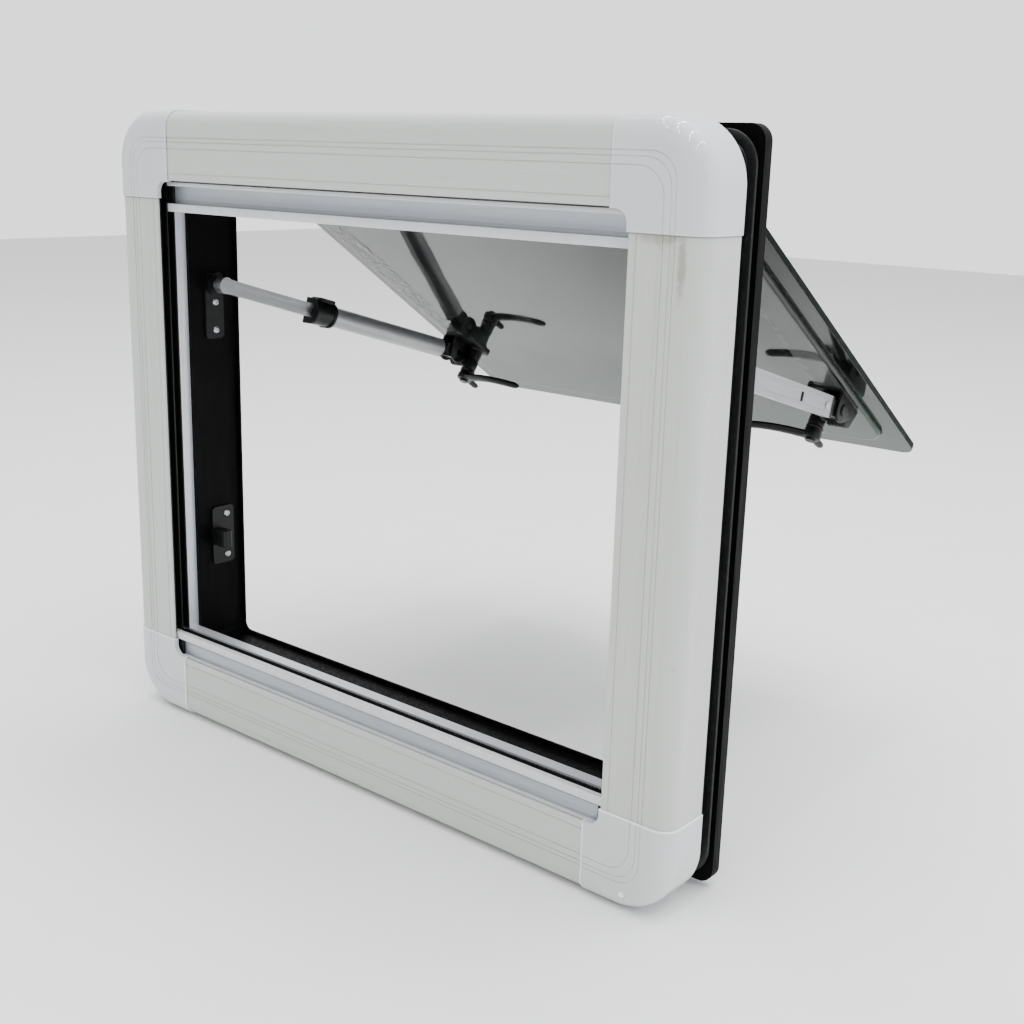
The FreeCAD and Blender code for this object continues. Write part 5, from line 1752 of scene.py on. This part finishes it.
@dataclass
class Stage:
    """Pale floor, soft studio light and the camera.

    Attributes:
        floor_half: Half the floor's side.
        eye: Camera's place.
        lens: Focal length in millimetres on a 36 mm sensor.
    """

    floor_half: float = 6.0
    eye: tuple[float, float, float] = (0.75887, -0.79087, 0.25174)
    lens: float = 47.48

    def floor(self) -> None:
        """Flat pale floor under the lowest point."""
        bm = bmesh.new()
        bmesh.ops.create_grid(bm, x_segments=8, y_segments=8, size=self.floor_half,
                              matrix=Matrix.Translation((0.0, 0.0, CAD_BOX[0][2] - 0.2 * MM)))
        mesh = bpy.data.meshes.new("studio_floor")
        bm.to_mesh(mesh)
        bm.free()
        mesh.materials.append(FLOOR.material())
        made = bpy.data.objects.new("studio_floor", mesh)
        bpy.context.scene.collection.objects.link(made)

    def camera(self) -> None:
        """Camera by the right front corner, a little above the middle."""
        data = bpy.data.cameras.new("camera")
        data.lens = self.lens
        data.sensor_width = 36.0
        made = bpy.data.objects.new("camera", data)
        right = Vector((0.76525, 0.64316, 0.02716)).normalized()
        back = Vector((0.61611, -0.74399, 0.25864)).normalized()
        up = back.cross(right)
        turn = Matrix((right, up, back)).transposed().to_4x4()
        made.matrix_world = Matrix.Translation(self.eye) @ turn
        bpy.context.scene.collection.objects.link(made)
        bpy.context.scene.camera = made

    def light(self, name: str, place: Sequence[float], aim: Sequence[float], size: Sequence[float],
              power: float, colour: str) -> None:
        """Adds one soft rectangular light.

        Args:
            name: Name of the light.
            place: Its middle.
            aim: Point that it faces.
            size: Width and height.
            power: Watts.
            colour: sRGB hex.
        """
        data = bpy.data.lights.new(name, "AREA")
        data.shape = "RECTANGLE"
        data.size, data.size_y = size
        data.energy = power
        data.color = linear(colour)[:3]
        made = bpy.data.objects.new(name, data)
        way = Vector(aim) - Vector(place)
        made.matrix_world = Matrix.Translation(place) @ way.to_track_quat("-Z", "Y").to_matrix().to_4x4()
        bpy.context.scene.collection.objects.link(made)

    def lights(self) -> None:
        """Broad lights above, in front and on the right, and four rows of ceiling tubes."""
        self.light("overhead", (0.3, 0.4, 3.2), (0, 0, 0), (3.6, 3.6), 92.0, "#fbfcff")
        self.light("front", (-1.4, -2.6, 1.2), (0, 0, 0), (2.2, 1.6), 10.0, "#fffdf8")
        self.light("right", (2.8, -0.5, 0.8), (0, 0, 0), (1.2, 1.8), 14.0, "#e9f0ff")
        for i in range(16):
            row, column = divmod(i, 4)
            place = (-0.7 + 0.75 * column, -1.7 + 0.8 * row, 2.4)
            self.light(f"ceiling_{i}", place, (place[0], place[1], 0.0), (0.08, 0.5), 4.5, "#ffffff")
        world = bpy.data.worlds.new("studio")
        world.use_nodes = True
        sky = world.node_tree.nodes["Background"]
        sky.inputs["Color"].default_value = linear("#f7f8fa")
        way = node(world.node_tree, "ShaderNodeTexCoord").outputs["Generated"]
        depth = node(world.node_tree, "ShaderNodeSeparateXYZ", {"Vector": way}).outputs[1]
        # brighter behind the window, dimmer behind the camera, so that gloss shows the lights
        bright = node(
            world.node_tree, "ShaderNodeMapRange",
            {"Value": depth, "From Min": -0.6, "From Max": 0.6, "To Min": 0.55, "To Max": 1.9},
            interpolation_type="SMOOTHSTEP",
        ).outputs[0]
        world.node_tree.links.new(bright, sky.inputs["Strength"])
        bpy.context.scene.world = world

    def build(self) -> None:
        """Makes the stage."""
        self.camera()
        self.floor()
        self.lights()


STAY_SLANT = -StayFittings("right").frame().to_euler().x
TUBE = DrawnMetal("anodised_aluminium_tube", "#a9abab", 0.42, 0.7, run=Run.INTO, shade="#8a8e91",
                  turned=STAY_SLANT)
ROD = DrawnMetal("extruded_aluminium_rod", "#b3b6b6", 0.34, 1.0, run=Run.INTO, shade="#94989b",
                 turned=STAY_SLANT)


def main() -> None:
    """Builds the stage and every sub-assembly in order."""
    logging.basicConfig(level=logging.INFO, format="%(name)s: %(message)s")
    Stage().build()
    CarriedNodes().dress()
    PullBar("blind_bar", grip_up=False).build()
    PullBar("screen_bar", grip_up=True).build()
    SlotBrush("slot_brush_top", tip_up=False).build()
    SlotBrush("slot_brush_bottom", tip_up=True).build()
    Seals().build()
    RollerCloth("blind", BLACKOUT, "blackout_cloth").build()
    RollerCloth("screen", INSECT, "insect_mesh").build()
    PaneTrim().build()
    PanHeadScrews().build()
    for name in SIDES:
        StayFittings(name).build()
        PaneBracket(name).build()
        Latch(name).build()
    LOG.info("size written")


if __name__ == "__main__":
    main()
